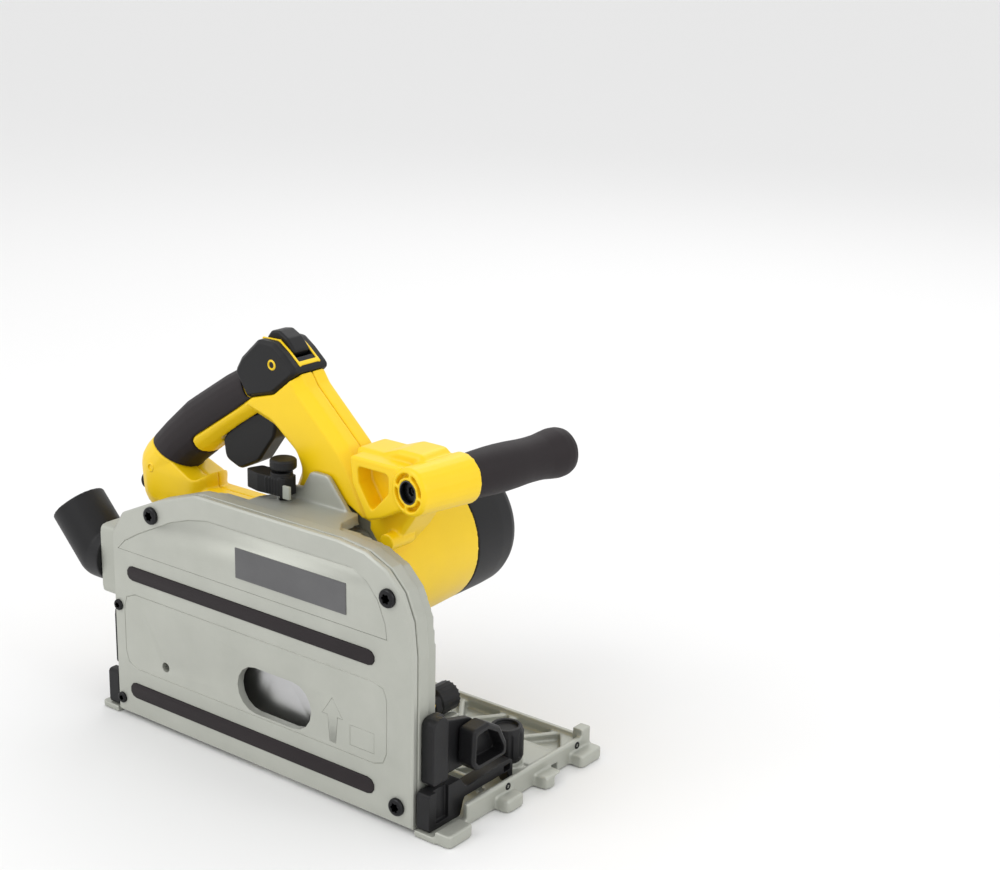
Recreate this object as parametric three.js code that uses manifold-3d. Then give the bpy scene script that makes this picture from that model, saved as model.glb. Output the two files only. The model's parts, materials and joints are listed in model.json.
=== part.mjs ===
// Corded track plunge saw: a 165 mm blade in a cast guard, on a slotted base that rides a track.
// Millimetres, +X is the cutting direction, +Y runs from the blade to the motor, +Z is up from the sole.
// Every size below counts Y from the blade's plane; the finished part is then set on its own origin,
// which is on the sole, midway along the base and ORIGIN_Y to the right of the blade.
import * as THREE from "three";
import { mergeVertices } from "three/addons/utils/BufferGeometryUtils.js";
import Module from "manifold-3d";

const wasm = await Module();
wasm.setup();

// ---- Driving dimensions -------------------------------------------------------------------

const ORIGIN_Y = 70;

const GAP = 0.3; // clearance between two pieces that seat on each other
const RUN = 0.6; // running clearance round a turning or sliding piece

// Base casting
const BASE_BACK = -150;
const BASE_FRONT = 161;
const BASE_LEFT = -15;
const BASE_RIGHT = 150;
const BASE_MID_LEFT = 2.5; // left edge of the sole between its two end feet
const FOOT_INSIDE = 143; // the end feet start this far from the middle
const BASE_SKIN = 4;
const RIB_TOP = 12;
const CROSS_RIB_TOP = 15;
const DECK_TOP = 9.5;
const DECK_RIB = 5;
const RIB_WIDTH = 4;
const TAB_OUT = 10;
const TAB_HEIGHT = 8;
const CHANNEL_Y = 104; // middle of the groove that rides the track's rib
const CHANNEL_WIDTH = 17;
const CHANNEL_DEPTH = 7;
const CHANNEL_ROOF = 3.5;
const BLADE_WINDOW = { back: -96, front: 118, right: 49 };

// Guard
const GUARD_BACK = -131.5;
const GUARD_FRONT = 141.5;
const GUARD_TOP = 181;
const GUARD_BOTTOM = 3;
const GUARD_FRONT_RADIUS = 50;
const COVER_OUTER_Y = -15;
const COVER_INNER_Y = -9.6;
const WALL_Y = 9; // inner face of the guard's back wall
const WALL_THICK = 3;
const RIM_WALL = 5;
const RIM_BACK_Y = 0.6;
const RIM_STEP = 4; // the casting steps in by this much behind the rim
const HANDLE_Y = 52;
const HANDLE_HALF = 16.5;
const SHELF_ROOM = 1.1; // between the guard's shelf and the handle that comes down beside it
const SHELF = { back: -20, front: 56, z0: 172, z1: 179, right: HANDLE_Y - HANDLE_HALF - SHELF_ROOM };
const WEB_THICK = 4;
const OVAL_WINDOW = { x: 22.5, z: 57.5, length: 67, height: 33 };
const STRIPS = [
  { name: "rub_strip_upper", x0: -116.8, x1: 110.4, z: 110.3, half: 5.1 },
  { name: "rub_strip_lower", x0: -117.7, x1: 110.2, z: 22.4, half: 5.6 },
];
const STRIP_SINK = 1.2;
const STRIP_PROUD = 0.8;

// Blade and drive
const ARBOR = { x: 18, z: 86 };
const BLADE_RADIUS = 82.5;
const BLADE_THICK = 1.6;
const BLADE_TEETH = 24;
const KNIFE_THICK = 1.8;
const ARBOR_RADIUS = 5;
const BORE_RADIUS = 10;
const MOTOR = { x: 25, z: 132 };
const MODULE_MM = 1;
const PINION_TEETH = 8;
const GEAR_TEETH = 39;
const GEAR_Y0 = 31;
const GEAR_WIDTH = 9;
const NOSE_RADIUS = 16;
const CASE_Y0 = 25;
const CASE_Y1 = 42;
const COVER_PLATE_Y1 = 46;
const CASE_WALL = 3;
const SHAFT_RADIUS = 4;
const IDLER_PIN_RADIUS = 3;
const FLANGE_RADIUS = 17;
const FLANGE_THICK = 2.6;
const FLANGE_BORE = 4.4;
const SPINDLE_BEARING = { outer: 12, inner: ARBOR_RADIUS + GAP, y0: 8, y1: 16 };
const SMALL_BEARING = { outer: 8, inner: ARBOR_RADIUS + GAP };

// Plunge linkage: two parallel links from the guard to the gear case
const LINK_LENGTH = 95;
const LINK_ANGLE = 18; // degrees above level at rest, and as far below it at full depth
// How far the body moves forward by mid-plunge.
const LINK_BULGE = LINK_LENGTH * (1 - Math.cos((LINK_ANGLE * Math.PI) / 180));
const LINK_A = { x: -82, z: 128 };
const LINK_B = { x: -70, z: 92 };
const LINK_Y0 = 14.4;
const LINK_Y1 = 20.4;
const LINK_PIN = 4;
const OPEN_PIVOT_ROOM = 1.6; // play round the lower link's far pin, where the loop is left open

// Motor and housing
const HOUSING_R0 = 52;
const HOUSING_R1 = 48.5;
const HOUSING_WALL = 3.5;
const HOUSING_Y0 = COVER_PLATE_Y1 + GAP;
const HOUSING_Y1 = 134;
const CAP_END_Y = 182;
const STATOR_Y0 = 66;
const STATOR_Y1 = 112;
const AIR_GAP = 1;
const ROTOR_RADIUS = 28;
const BRUSH_ARM = { y0: 126, y1: 136, inner: 13.6, outer: 40 };
const COMMUTATOR = { y0: 124, y1: 138, radius: 13 };
const FAN = { y0: 53, y1: 61, radius: 42, hub: 16, blades: 9 };
const FRONT_BEARING_RADIUS = 11;
const REAR_BEARING = { radius: 11.5, y0: CAP_END_Y - 19, y1: CAP_END_Y - 13 };
const SHAFT_END_Y = REAR_BEARING.y1 - 1;
const CAP_VENTS = { count: 5, first: 75, step: 27 }; // degrees, on the cap's underside and back

// D-handle and front handle
const TOWER_BEVEL = 6;
const NOSE_HALF = 17;
const BUTTON_HALF = 7.5;
const RUBBER_THICK = 2.2;
const GRIP_HALF = 16.8;
const GRIP_KNUCKLES = [
  [-50, 241, 18.5], [-73, 227, 19.5], [-105, 205, 20.5], [-127, 187, 19.5], [-146, 166, 21.5],
];
const TAIL_KNUCKLES = [
  [-146, 166, 21.5], [-145, 151, 21], [-112, 152, 18], [-108, 166, 14],
];
const BOSS = { x: 106, y: 20, z: 208.6, r: 16 };
const BOSS_LEAN = 0.15; // forward lean of the front handle, per mm of reach
const BOSS_LENGTH = 48;
const CASE_TUBE = { x: 82, z: 168 };
const GRIP_LENGTH = 91;
const SWITCH_HALF = 8;
const TRIGGER_HALF = 7.5;
const TRIGGER_ROOM = 1.2;
const TRIGGER_PIN = { x: -62, z: 201 };
const TRIGGER_SWING = 8; // degrees
const GLAND = { x: -158, z: 150, radius: 7, bore: 3.6, length: 12 };

// Dust outlet
const OUTLET_Z = 108;
const SPOUT_RADIUS = 20;
const SPOUT_WALL = 4.5;
const SPOUT_LEAN = 46; // degrees between the spout's mouth and its turning axis
const SPOUT_ELBOW = -14;
const SPOUT_REACH = 40;
const COLLAR_WALL = 2.5;

// Knobs and brackets
const ADJUSTER = { x: 137, y: 86, radius: 12, shaft: 2.8, seat: 13, top: 37 };
const KICKBACK = { x: 62, z: 25, y0: 93, y1: 119, radius: 11 };
const BRACKET = { x0: 143.3, x1: 153.5, top: 30 };
const BEVEL_KNOB = { y: 30, z: 46, x0: 147.4, x1: 161 };
const QUADRANT_STUD = 3;
const DEPTH_ROOM = 6.4; // from the depth rod to the inside of the guard's web
const DEPTH_Y = SHELF.right - WEB_THICK - DEPTH_ROOM;
const DEPTH = { x: -4, y: DEPTH_Y, rod: 2.6, blockZ0: 183.5, blockZ1: 196, knobZ: 199.5, knobTop: 207 };
const SPINDLE_LOCK = { x: 50, z: 158, r: 5, y0: 20, y1: 34, travel: 3 };
const SPEED_DIAL = { x: -2, y: HANDLE_Y + HANDLE_HALF, z: 227, r: 9 };
const BOX = { x0: -152, x1: -131.8, y0: -8, y1: 24, z0: 84, z1: 135 };

// ---- Solid helpers ------------------------------------------------------------------------

function solid(geometry) {
  const bare = geometry.index ? geometry.toNonIndexed() : geometry.clone();
  bare.deleteAttribute("normal");
  bare.deleteAttribute("uv");
  const merged = mergeVertices(bare, 1e-4);
  const triVerts = new Uint32Array(merged.index.array);
  const vertProperties = merged.attributes.position.array;
  return new wasm.Manifold(new wasm.Mesh({ numProp: 3, vertProperties, triVerts }));
}

function join(...parts) {
  return parts.reduce((all, part) => all.add(part));
}

function cut(body, ...tools) {
  return tools.reduce((left, tool) => left.subtract(tool), body);
}

// Turns [x, y, radius] corners into outline points, with an arc at every corner that has a radius.
function outline(corners, arcSteps = 4) {
  const points = [];
  const at = (i) => new THREE.Vector2(...corners[(i + corners.length) % corners.length].slice(0, 2));
  corners.forEach(([x, y, radius = 0], i) => {
    const here = new THREE.Vector2(x, y);
    if (radius === 0) {
      points.push(here);
      return;
    }
    const back = at(i - 1).sub(here);
    const on = at(i + 1).sub(here);
    const half = Math.acos(back.dot(on) / back.length() / on.length()) / 2;
    const reach = Math.min(radius / Math.tan(half), back.length() * 0.48, on.length() * 0.48);
    const start = here.clone().add(back.setLength(reach));
    const end = here.clone().add(on.setLength(reach));
    points.push(...new THREE.QuadraticBezierCurve(start, here, end).getPoints(arcSteps));
  });
  return points;
}

// Moves every edge of an anticlockwise outline outwards, so that a neighbour fits round it.
function grown(points, by) {
  const count = points.length;
  return points.map((here, i) => {
    const before = points[(i + count - 1) % count];
    const after = points[(i + 1) % count];
    const n0 = new THREE.Vector2(here.y - before.y, before.x - here.x).normalize();
    const n1 = new THREE.Vector2(after.y - here.y, here.x - after.x).normalize();
    const miter = n0.clone().add(n1);
    return here.clone().addScaledVector(miter, by / Math.max(0.3, 1 + n0.dot(n1)));
  });
}

function circle(x, y, radius, steps = 32) {
  return new THREE.EllipseCurve(x, y, radius, radius).getPoints(steps).slice(0, -1);
}

function slot(x0, x1, y, radius, steps = 8) {
  const right = new THREE.EllipseCurve(x1, y, radius, radius, -Math.PI / 2, Math.PI / 2);
  const left = new THREE.EllipseCurve(x0, y, radius, radius, Math.PI / 2, (Math.PI * 3) / 2);
  return [...right.getPoints(steps), ...left.getPoints(steps)];
}

// slabZ, slabY and slabX run an outline in the plane across their axis from one place on it to another.
function slabZ(points, z0, z1, bevel = 0) {
  const depth = z1 - z0 - 2 * bevel;
  const options = {
    depth,
    bevelEnabled: bevel > 0,
    bevelSize: bevel,
    bevelOffset: -bevel,
    bevelThickness: bevel,
    bevelSegments: 1,
  };
  const geometry = new THREE.ExtrudeGeometry(new THREE.Shape(points), options);
  return solid(geometry.translate(0, 0, z0 + bevel));
}

function slabY(points, y0, y1, bevel = 0) {
  const flat = slabZ(points, -y1, -y0, bevel);
  return flat.rotate([90, 0, 0]);
}

function slabX(points, x0, x1, bevel = 0) {
  return slabZ(points, x0, x1, bevel).rotate([90, 0, 90]);
}

function block(x0, x1, y0, y1, z0, z1) {
  const geometry = new THREE.BoxGeometry(x1 - x0, y1 - y0, z1 - z0);
  return solid(geometry.translate((x0 + x1) / 2, (y0 + y1) / 2, (z0 + z1) / 2));
}

// A turned piece: [radius, height] points from the axis and back to it, turned about +Z.
function turned(profile, steps = 24) {
  const points = profile.map(([radius, height]) => new THREE.Vector2(radius, height));
  const geometry = new THREE.LatheGeometry(points, steps);
  return solid(geometry.rotateX(Math.PI / 2));
}

function rod(radius, h0, h1, steps = 20) {
  return turned([[0, h0], [radius, h0], [radius, h1], [0, h1]], steps);
}

function tube(outer, inner, h0, h1, steps = 24) {
  return turned([[inner, h0], [outer, h0], [outer, h1], [inner, h1], [inner, h0]], steps);
}

// Stands a piece turned about +Z on the Y axis at x, z, its heights becoming Y.
function alongY(piece, x, z) {
  return piece.rotate([-90, 0, 0]).translate([x, 0, z]);
}

function alongX(piece, y, z) {
  return piece.rotate([0, 90, 0]).translate([0, y, z]);
}

const saw = new THREE.Group();

function place(name, shape, colour, roughness, metalness = 0) {
  const mesh = shape.getMesh();
  const geometry = new THREE.BufferGeometry();
  geometry.setAttribute("position", new THREE.BufferAttribute(new Float32Array(mesh.vertProperties), 3));
  geometry.setIndex(new THREE.BufferAttribute(new Uint32Array(mesh.triVerts), 1));
  geometry.computeVertexNormals();
  const material = new THREE.MeshStandardMaterial({ color: colour, roughness, metalness });
  const part = new THREE.Mesh(geometry, material);
  part.name = name;
  saw.add(part);
}

// ---- Finishes -----------------------------------------------------------------------------

const CAST = [0xb9bcb4, 0.55, 0.7];
const CAST_DARK = [0x8f938c, 0.6, 0.7];
const STEEL = [0x9a9ca0, 0.35, 0.9];
const YELLOW = [0xf6c915, 0.45];
const BLACK = [0x1c1b1e, 0.6];
const RUBBER = [0x2a282c, 0.85];
const COPPER = [0xa8622c, 0.4, 0.8];

// ---- Base: a ribbed casting with a blade window and a groove for the track's rib ------------

function ribBetween(x0, y0, x1, y1, top) {
  const length = Math.hypot(x1 - x0, y1 - y0);
  const turn = (Math.atan2(y1 - y0, x1 - x0) * 180) / Math.PI;
  const bar = block(0, length, -RIB_WIDTH / 2, RIB_WIDTH / 2, 1, top);
  return bar.rotate([0, 0, turn]).translate([x0, y0, 0]);
}

// A deck with triangular pockets in it, which leave a zigzag of ribs.
function ribbedDeck(x0, x1, y0, y1, bays) {
  const pitch = (x1 - x0) / bays;
  const reach = pitch / 2 - DECK_RIB;
  const pocket = (x, wide, narrow) => {
    const corners = [[x - reach, wide, 2], [x + reach, wide, 2], [x, narrow, 2]];
    return slabZ(outline(corners, 2), BASE_SKIN, DECK_TOP + 1);
  };
  const pockets = [];
  for (let i = 0; i < bays; i++) {
    const x = x0 + (i + 0.5) * pitch;
    pockets.push(pocket(x, y0 + DECK_RIB, y1 - DECK_RIB));
    if (i > 0) pockets.push(pocket(x - pitch / 2, y1 - DECK_RIB, y0 + DECK_RIB));
  }
  return cut(block(x0, x1, y0, y1, 1, DECK_TOP), ...pockets);
}

function baseSole() {
  const sole = outline([
    [BASE_BACK, BASE_LEFT, 4],
    [-FOOT_INSIDE + 10, BASE_LEFT, 0],
    [-FOOT_INSIDE + 10, BASE_MID_LEFT, 0],
    [FOOT_INSIDE, BASE_MID_LEFT, 0],
    [FOOT_INSIDE, BASE_LEFT, 0],
    [BASE_FRONT, BASE_LEFT, 3],
    [BASE_FRONT, BASE_RIGHT, 3],
    [BASE_BACK, BASE_RIGHT, 6],
  ]);
  return slabZ(sole, 0, BASE_SKIN);
}

function frontTabs() {
  const spans = [[BASE_LEFT + 1, 9.6], [44.8, 62.7], [86.2, 103.9], [126.3, 149.7]];
  const tabs = spans.map(([y0, y1]) => {
    const corners = [
      [BASE_FRONT - 2, y0, 0],
      [BASE_FRONT + TAB_OUT, y0, 3],
      [BASE_FRONT + TAB_OUT, y1, 3],
      [BASE_FRONT - 2, y1, 0],
    ];
    return slabZ(outline(corners, 3), 0, TAB_HEIGHT);
  });
  return join(...tabs);
}

function baseRibs() {
  const inset = RIB_WIDTH / 2;
  const right = BASE_RIGHT - inset;
  const windowSide = BLADE_WINDOW.right + inset;
  const channelLeft = CHANNEL_Y - CHANNEL_WIDTH / 2 - RIB_WIDTH;
  const ribs = [
    ribBetween(BASE_BACK + inset, 14, BASE_BACK + inset, BASE_RIGHT, RIB_TOP),
    ribBetween(BASE_BACK, right, BASE_FRONT, right, RIB_TOP),
    ribBetween(BASE_BACK, windowSide, BASE_FRONT, windowSide, RIB_TOP),
    ribBetween(BASE_FRONT - inset, 16, BASE_FRONT - inset, BASE_RIGHT, CROSS_RIB_TOP),
    block(BASE_FRONT - 8, BASE_FRONT, 140, BASE_RIGHT, 1, CROSS_RIB_TOP + 5),
  ];
  const channelRight = CHANNEL_Y + CHANNEL_WIDTH / 2 + RIB_WIDTH;
  const decks = [
    ribbedDeck(BASE_BACK, BASE_FRONT, BLADE_WINDOW.right, channelLeft, 6),
    ribbedDeck(BASE_BACK, BASE_FRONT, channelRight, BASE_RIGHT, 7),
  ];
  return join(...ribs, ...decks);
}

function channelRaise() {
  const reach = CHANNEL_WIDTH / 2 + RIB_WIDTH;
  return block(BASE_BACK, BASE_FRONT, CHANNEL_Y - reach, CHANNEL_Y + reach, 1, CHANNEL_DEPTH + CHANNEL_ROOF);
}

function baseBosses() {
  const spots = [[ADJUSTER.x, ADJUSTER.y], [-ADJUSTER.x, ADJUSTER.y]];
  const bosses = spots.map(([x, y]) => rod(11, 1, ADJUSTER.seat).translate([x, y, 0]));
  const { x, y0, y1, z } = KICKBACK;
  const post = block(x - 13, x + 13, y0 + 6.2, y1 - 5, 1, z - 9);
  return join(...bosses, post);
}

// The rear end fittings mirror the front ones about the guard's middle.
const rearOf = (piece) => piece.mirror([1, 0, 0]).translate([GUARD_BACK + GUARD_FRONT, 0, 0]);

function bracketSeat() {
  return block(BRACKET.x0 - GAP, BRACKET.x1 + GAP, -20, 73, BASE_SKIN, 40);
}

function basePlate() {
  const half = CHANNEL_WIDTH / 2;
  const solidBase = join(baseSole(), frontTabs(), baseRibs(), channelRaise(), baseBosses());
  const window = block(BLADE_WINDOW.back, BLADE_WINDOW.front, -40, BLADE_WINDOW.right, -1, 40);
  const channel = block(-400, 400, CHANNEL_Y - half, CHANNEL_Y + half, -1, CHANNEL_DEPTH);
  const shaftHole = rod(ADJUSTER.shaft + RUN, -1, 60);
  const shaftHoles = [1, -1].map((side) => shaftHole.translate([side * ADJUSTER.x, ADJUSTER.y, 0]));
  const { x, y0, y1, z, radius } = KICKBACK;
  const kickNest = alongY(rod(radius + RUN, y0 - 4, y1 + 4), x, z);
  return cut(solidBase, window, channel, ...shaftHoles, bracketSeat(), rearOf(bracketSeat()), kickNest);
}

// The fixed bracket stands on the sole; its tall post and long foot hold the bevel knob's slot.
function bevelBracket() {
  const { x0, x1, top } = BRACKET;
  const profile = outline([
    [-13, BASE_SKIN + GAP, 2],
    [18, BASE_SKIN + GAP, 2],
    [22, BASE_SKIN + 12, 3],
    [66, BASE_SKIN + 12, 2],
    [72, BASE_SKIN + GAP, 0],
    [72, 24, 4],
    [60, 24, 3],
    [24, 22, 4],
    [18, top, 2],
    [-13, top, 2],
  ], 3);
  const groove = block(x1 - 3, x1 + 5, -6, 6, 8, 60);
  const window = block(x0 - 1, x1 + 1, 62.5, 69.5, 16.5, 21);
  return cut(slabX(profile, x0, x1), groove, window);
}

function adjusterKnob() {
  const { radius, seat, top } = ADJUSTER;
  const base = seat + RUN;
  const cap = turned([
    [0, base], [radius - 1, base], [radius, base + 3], [radius, top - 4],
    [radius - 1.5, top], [radius - 4, top], [radius - 4, top - 2], [0, top - 2],
  ], 24);
  const flutes = [];
  for (let i = 0; i < 10; i++) {
    const turn = (i * Math.PI) / 5;
    const at = [(radius + 1) * Math.cos(turn), (radius + 1) * Math.sin(turn), 0];
    flutes.push(rod(2, base + 3, top + 1, 8).translate(at));
  }
  const shaft = rod(ADJUSTER.shaft, CHANNEL_DEPTH + 1, base + 1, 16);
  return join(cut(cap, ...flutes), shaft);
}

function kickbackKnob() {
  const { radius, y0, y1 } = KICKBACK;
  const grip = turned([
    [0, y0 + 5], [radius - 2, y0 + 5], [radius, y0 + 7], [radius, y1 - 2], [radius - 2, y1], [0, y1],
  ], 24);
  const arrow = outline([[-8, -8, 4], [8, -8, 4], [11, 3, 2], [0, 13, 2], [-11, 3, 2]], 3);
  const pointer = slabZ(arrow, y0, y0 + 5.5);
  return alongY(join(grip, pointer), KICKBACK.x, KICKBACK.z);
}

// ---- Guard: cover, casting, rub strips, outlet box, bevel quadrants -------------------------

function guardOutline(inset, bottom = GUARD_BOTTOM) {
  return outline([
    [GUARD_BACK + inset, bottom, 0],
    [GUARD_FRONT - inset, bottom, 0],
    [GUARD_FRONT - inset, GUARD_TOP - inset, 2 * GUARD_FRONT_RADIUS * 0.62],
    [-48, GUARD_TOP - inset, 20],
    [-87.6 + inset * 0.2, 167.6 - inset, 30],
    [-120.5 + inset * 0.7, 152.8 - inset * 0.7, 8],
    [GUARD_BACK + inset, 136, 12],
  ], 5);
}

function ovalWindow(y0, y1, grow = 0) {
  const { x, z, length, height } = OVAL_WINDOW;
  const reach = (length - height) / 2;
  return slabY(slot(x - reach, x + reach, z, height / 2 + grow), y0, y1);
}

function stripShape(strip, y0, y1, grow = 0) {
  const { x0, x1, z, half } = strip;
  return slabY(slot(x0 + half, x1 - half, z, half + grow, 5), y0, y1);
}

function guardCover() {
  const plate = slabY(guardOutline(0), COVER_OUTER_Y, COVER_INNER_Y, 1.2);
  const beds = STRIPS.map((strip) => stripShape(strip, COVER_OUTER_Y - 1, COVER_OUTER_Y + STRIP_SINK, GAP));
  const peep = alongY(rod(3.6, -30, 0, 16), -81, 49);
  return cut(plate, ovalWindow(-30, 0), peep, ...beds);
}

function arborSlot() {
  const half = NOSE_RADIUS + 2;
  const path = slot(0, 0, 0, half, 8);
  const top = slabY(path.map((p) => new THREE.Vector2(p.x + ARBOR.x, p.y + ARBOR.z)), 0, 40);
  return join(top, block(ARBOR.x - half, ARBOR.x + half + LINK_BULGE, 0, 40, -5, ARBOR.z + 4));
}

function linkPin({ x, z }) {
  return alongY(rod(LINK_PIN, WALL_Y + 1, LINK_Y1 + GAP + 1.4, 20), x, z);
}

function linkBoss({ x, z }) {
  return alongY(rod(LINK_PIN + 3, WALL_Y + 1, LINK_Y0 - GAP, 20), x, z);
}

function guardWeb() {
  const web = outline([
    [SHELF.back + 10, SHELF.z1 - 4, 0],
    [SHELF.front - 2, SHELF.z0, 0],
    [SHELF.front - 6, 176, 3],
    [29, 200, 4],
    [14, 200, 4],
    [7, 188, 3],
    [SHELF.back + 10, 186, 2],
  ], 3);
  return slabY(web, SHELF.right - WEB_THICK, SHELF.right);
}

function guardShelf() {
  const shelf = outline([
    [SHELF.back, -2, 0],
    [SHELF.front + 14, -2, 0],
    [SHELF.front + 1, 14, 8],
    [SHELF.front - 2, SHELF.right, 4],
    [SHELF.back + 8, SHELF.right, 4],
    [SHELF.back, 20, 4],
  ], 3);
  return slabZ(shelf, SHELF.z0, SHELF.z1);
}

function guardBody() {
  const rim = slabY(guardOutline(0), COVER_INNER_Y + GAP, RIM_BACK_Y, 0);
  const back = slabY(guardOutline(RIM_STEP, 7), RIM_BACK_Y - 1, WALL_Y + WALL_THICK, 0);
  const hollow = slabY(guardOutline(RIM_STEP + RIM_WALL, -20), COVER_INNER_Y - 1, WALL_Y);
  const outletPort = block(GUARD_BACK - 5, GUARD_BACK + 30, -6, WALL_Y - 1, OUTLET_Z - 14, OUTLET_Z + 14);
  const casting = join(rim, back, guardShelf(), guardWeb());
  const open = cut(casting, hollow, outletPort, arborSlot());
  const rodHole = rod(DEPTH.rod + RUN, 150, 220, 16).translate([DEPTH.x, DEPTH.y, 0]);
  const pivots = [linkBoss(LINK_A), linkBoss(LINK_B), linkPin(LINK_A), linkPin(LINK_B)];
  return cut(join(open, ...pivots), rodHole);
}

function depthSlider() {
  const { x, y, blockZ0, blockZ1 } = DEPTH;
  const wing = outline([
    [x - 28, y - 7, 3],
    [x - 14, y - 10, 3],
    [x + 8, y - 8, 4],
    [x + 8, y + 5, 3],
    [x - 24, y + 5, 3],
  ], 3);
  const body = slabZ(wing, blockZ0, blockZ1);
  const barrel = rod(7.5, blockZ0, blockZ1 + 2.5, 20).translate([x, y - 1.5, 0]);
  const stem = rod(DEPTH.rod, 165, blockZ0 + 1, 12).translate([x, y, 0]);
  const bore = rod(2.6, blockZ0 + 4, 230, 12).translate([x, y, 0]);
  return cut(join(body, barrel, stem), bore);
}

function depthKnob() {
  const { x, y, knobZ, knobTop, blockZ0 } = DEPTH;
  const profile = [
    [0, blockZ0 + 5], [2, blockZ0 + 5], [2, knobZ - 0.4], [7, knobZ], [9, knobZ + 1.5],
    [9, knobTop - 1], [8, knobTop], [0, knobTop],
  ];
  return turned(profile, 24).translate([x, y, 0]);
}

// The outlet box is a shallow casting behind the guard, open through to the blade chamber.
function dustBox() {
  const { x0, x1, y0, y1, z0, z1 } = BOX;
  const shell = slabX(outline([[y0, z0, 5], [y1, z0, 8], [y1, z1, 8], [y0, z1, 5]], 4), x0, x1);
  const chamber = block(x0 + 3, x1 + 1, y0 + 3, y1 - 3, z0 + 4, z1 - 4);
  const middle = (y0 + y1) / 2;
  const outside = SPOUT_RADIUS - SPOUT_WALL - 1;
  const inside = outside - COLLAR_WALL;
  const mouth = alongX(rod(inside, x0 - 1, x0 + 4), middle, OUTLET_Z);
  const collar = alongX(tube(outside, inside, x0 - 8, x0 + 1), middle, OUTLET_Z);
  return cut(join(shell, collar), chamber, mouth);
}

// The spout turns on the box's collar; its mouth leans 45 degrees from the turning axis.
function dustSpout() {
  const y = (BOX.y0 + BOX.y1) / 2;
  const shape = (radius, extra) => {
    const root = alongX(rod(radius, SPOUT_ELBOW, -GAP + extra, 20), 0, 0);
    const ball = solid(new THREE.SphereGeometry(radius, 20, 10));
    const arm = rod(radius, 0, SPOUT_REACH + extra, 20).rotate([0, -90 + SPOUT_LEAN, 0]);
    return join(root, join(ball, arm).translate([SPOUT_ELBOW, 0, 0]));
  };
  const outer = shape(SPOUT_RADIUS, 0);
  const inner = shape(SPOUT_RADIUS - SPOUT_WALL, 1);
  const boxSide = block(-GAP, 60, -60, 60, -60, 60);
  return cut(outer, inner, boxSide).translate([BOX.x0, y, OUTLET_Z]);
}

// The quadrant is screwed to the guard's end and swings with it about the bevel axis.
function bevelQuadrant() {
  const x0 = GUARD_FRONT + GAP;
  const x1 = x0 + 5;
  const plate = outline([
    [-7, 33, 2],
    [30, 33, 3],
    [52, 33, 3],
    [50, 48, 8],
    [36, 64, 10],
    [12, 70, 6],
    [8, 77, 6],
    [-7, 77, 6],
  ], 4);
  const post = slabX(outline([[-7, 33, 2], [8, 33, 2], [8, 77, 7], [-7, 77, 7]], 4), x0, x1 + 5);
  const knobSlot = alongX(rod(QUADRANT_STUD + 1, x0 - 1, x1 + 1, 16), BEVEL_KNOB.y, BEVEL_KNOB.z);
  return cut(join(slabX(plate, x0, x1), post), knobSlot);
}

// A wedge-shaped clamp knob with three flats round its outer edge, on a stud through the quadrant.
function bevelKnob() {
  const { y, z, x0, x1 } = BEVEL_KNOB;
  const grip = outline([
    [y - 4, z - 12, 3],
    [y + 26, z - 11, 3],
    [y + 26, z - 2, 2],
    [y + 19, z + 11, 2],
    [y + 7, z + 18, 2],
    [y - 8, z + 17, 3],
    [y - 9, z - 6, 4],
  ], 3);
  const stud = alongX(rod(QUADRANT_STUD, x0 - 4.4, x0 + 3, 16), y, z);
  const inside = outline([
    [y - 3, z - 8, 2], [y + 23, z - 8, 2], [y + 22, z - 3, 2], [y + 16, z + 8, 2],
    [y + 6, z + 14, 2], [y - 5, z + 13, 2], [y - 6, z - 5, 2],
  ], 2);
  const hollow = slabX(inside, x0 + 4, x1 + 1);
  return join(cut(slabX(grip, x0, x1, 1.5), hollow), stud);
}

// ---- Plunge linkage -------------------------------------------------------------------------

function farEnd({ x, z }) {
  const turn = (LINK_ANGLE * Math.PI) / 180;
  return { x: x + LINK_LENGTH * Math.cos(turn), z: z + LINK_LENGTH * Math.sin(turn) };
}

function plungeLink(pivot, farClearance) {
  const bar = slot(0, LINK_LENGTH, 0, LINK_PIN + 4, 8);
  const flat = slabY(bar, LINK_Y0, LINK_Y1).rotate([0, -LINK_ANGLE, 0]).translate([pivot.x, 0, pivot.z]);
  const far = farEnd(pivot);
  const near = alongY(rod(LINK_PIN + RUN, 0, 40, 20), pivot.x, pivot.z);
  const away = alongY(rod(LINK_PIN + farClearance, 0, 40, 20), far.x, far.z);
  return cut(flat, near, away);
}

function returnSpring() {
  const { x, z } = LINK_A;
  return alongY(tube(9.5, LINK_PIN + 1.6, LINK_Y1 + GAP, LINK_Y1 + 3.6, 24), x, z);
}

// ---- Gear case, drive and blade -------------------------------------------------------------

function hullXZ(rings, y0, y1) {
  const discs = rings.map(([x, z, r]) => slabY(circle(x, z, r, 24), y0, y1));
  return wasm.Manifold.hull(discs);
}

const PINION_R = (PINION_TEETH * MODULE_MM) / 2;
const GEAR_R = (GEAR_TEETH * MODULE_MM) / 2;
const SHAFT_SPAN = Math.hypot(MOTOR.x - ARBOR.x, MOTOR.z - ARBOR.z);
const IDLER_TEETH = Math.round((SHAFT_SPAN - PINION_R - GEAR_R) / MODULE_MM);
const IDLER_R = (SHAFT_SPAN - PINION_R - GEAR_R) / 2;
const IDLER_AT = (GEAR_R + IDLER_R) / SHAFT_SPAN;
const IDLER = {
  x: ARBOR.x + (MOTOR.x - ARBOR.x) * IDLER_AT,
  z: ARBOR.z + (MOTOR.z - ARBOR.z) * IDLER_AT,
};
const DRIVE_LINE = Math.atan2(MOTOR.z - ARBOR.z, MOTOR.x - ARBOR.x);

// A gear's turn that puts a gap of its teeth towards the wheel below it on the line of centres.
function meshTurn(teeth) {
  return DRIVE_LINE + Math.PI + Math.PI / teeth;
}

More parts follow.
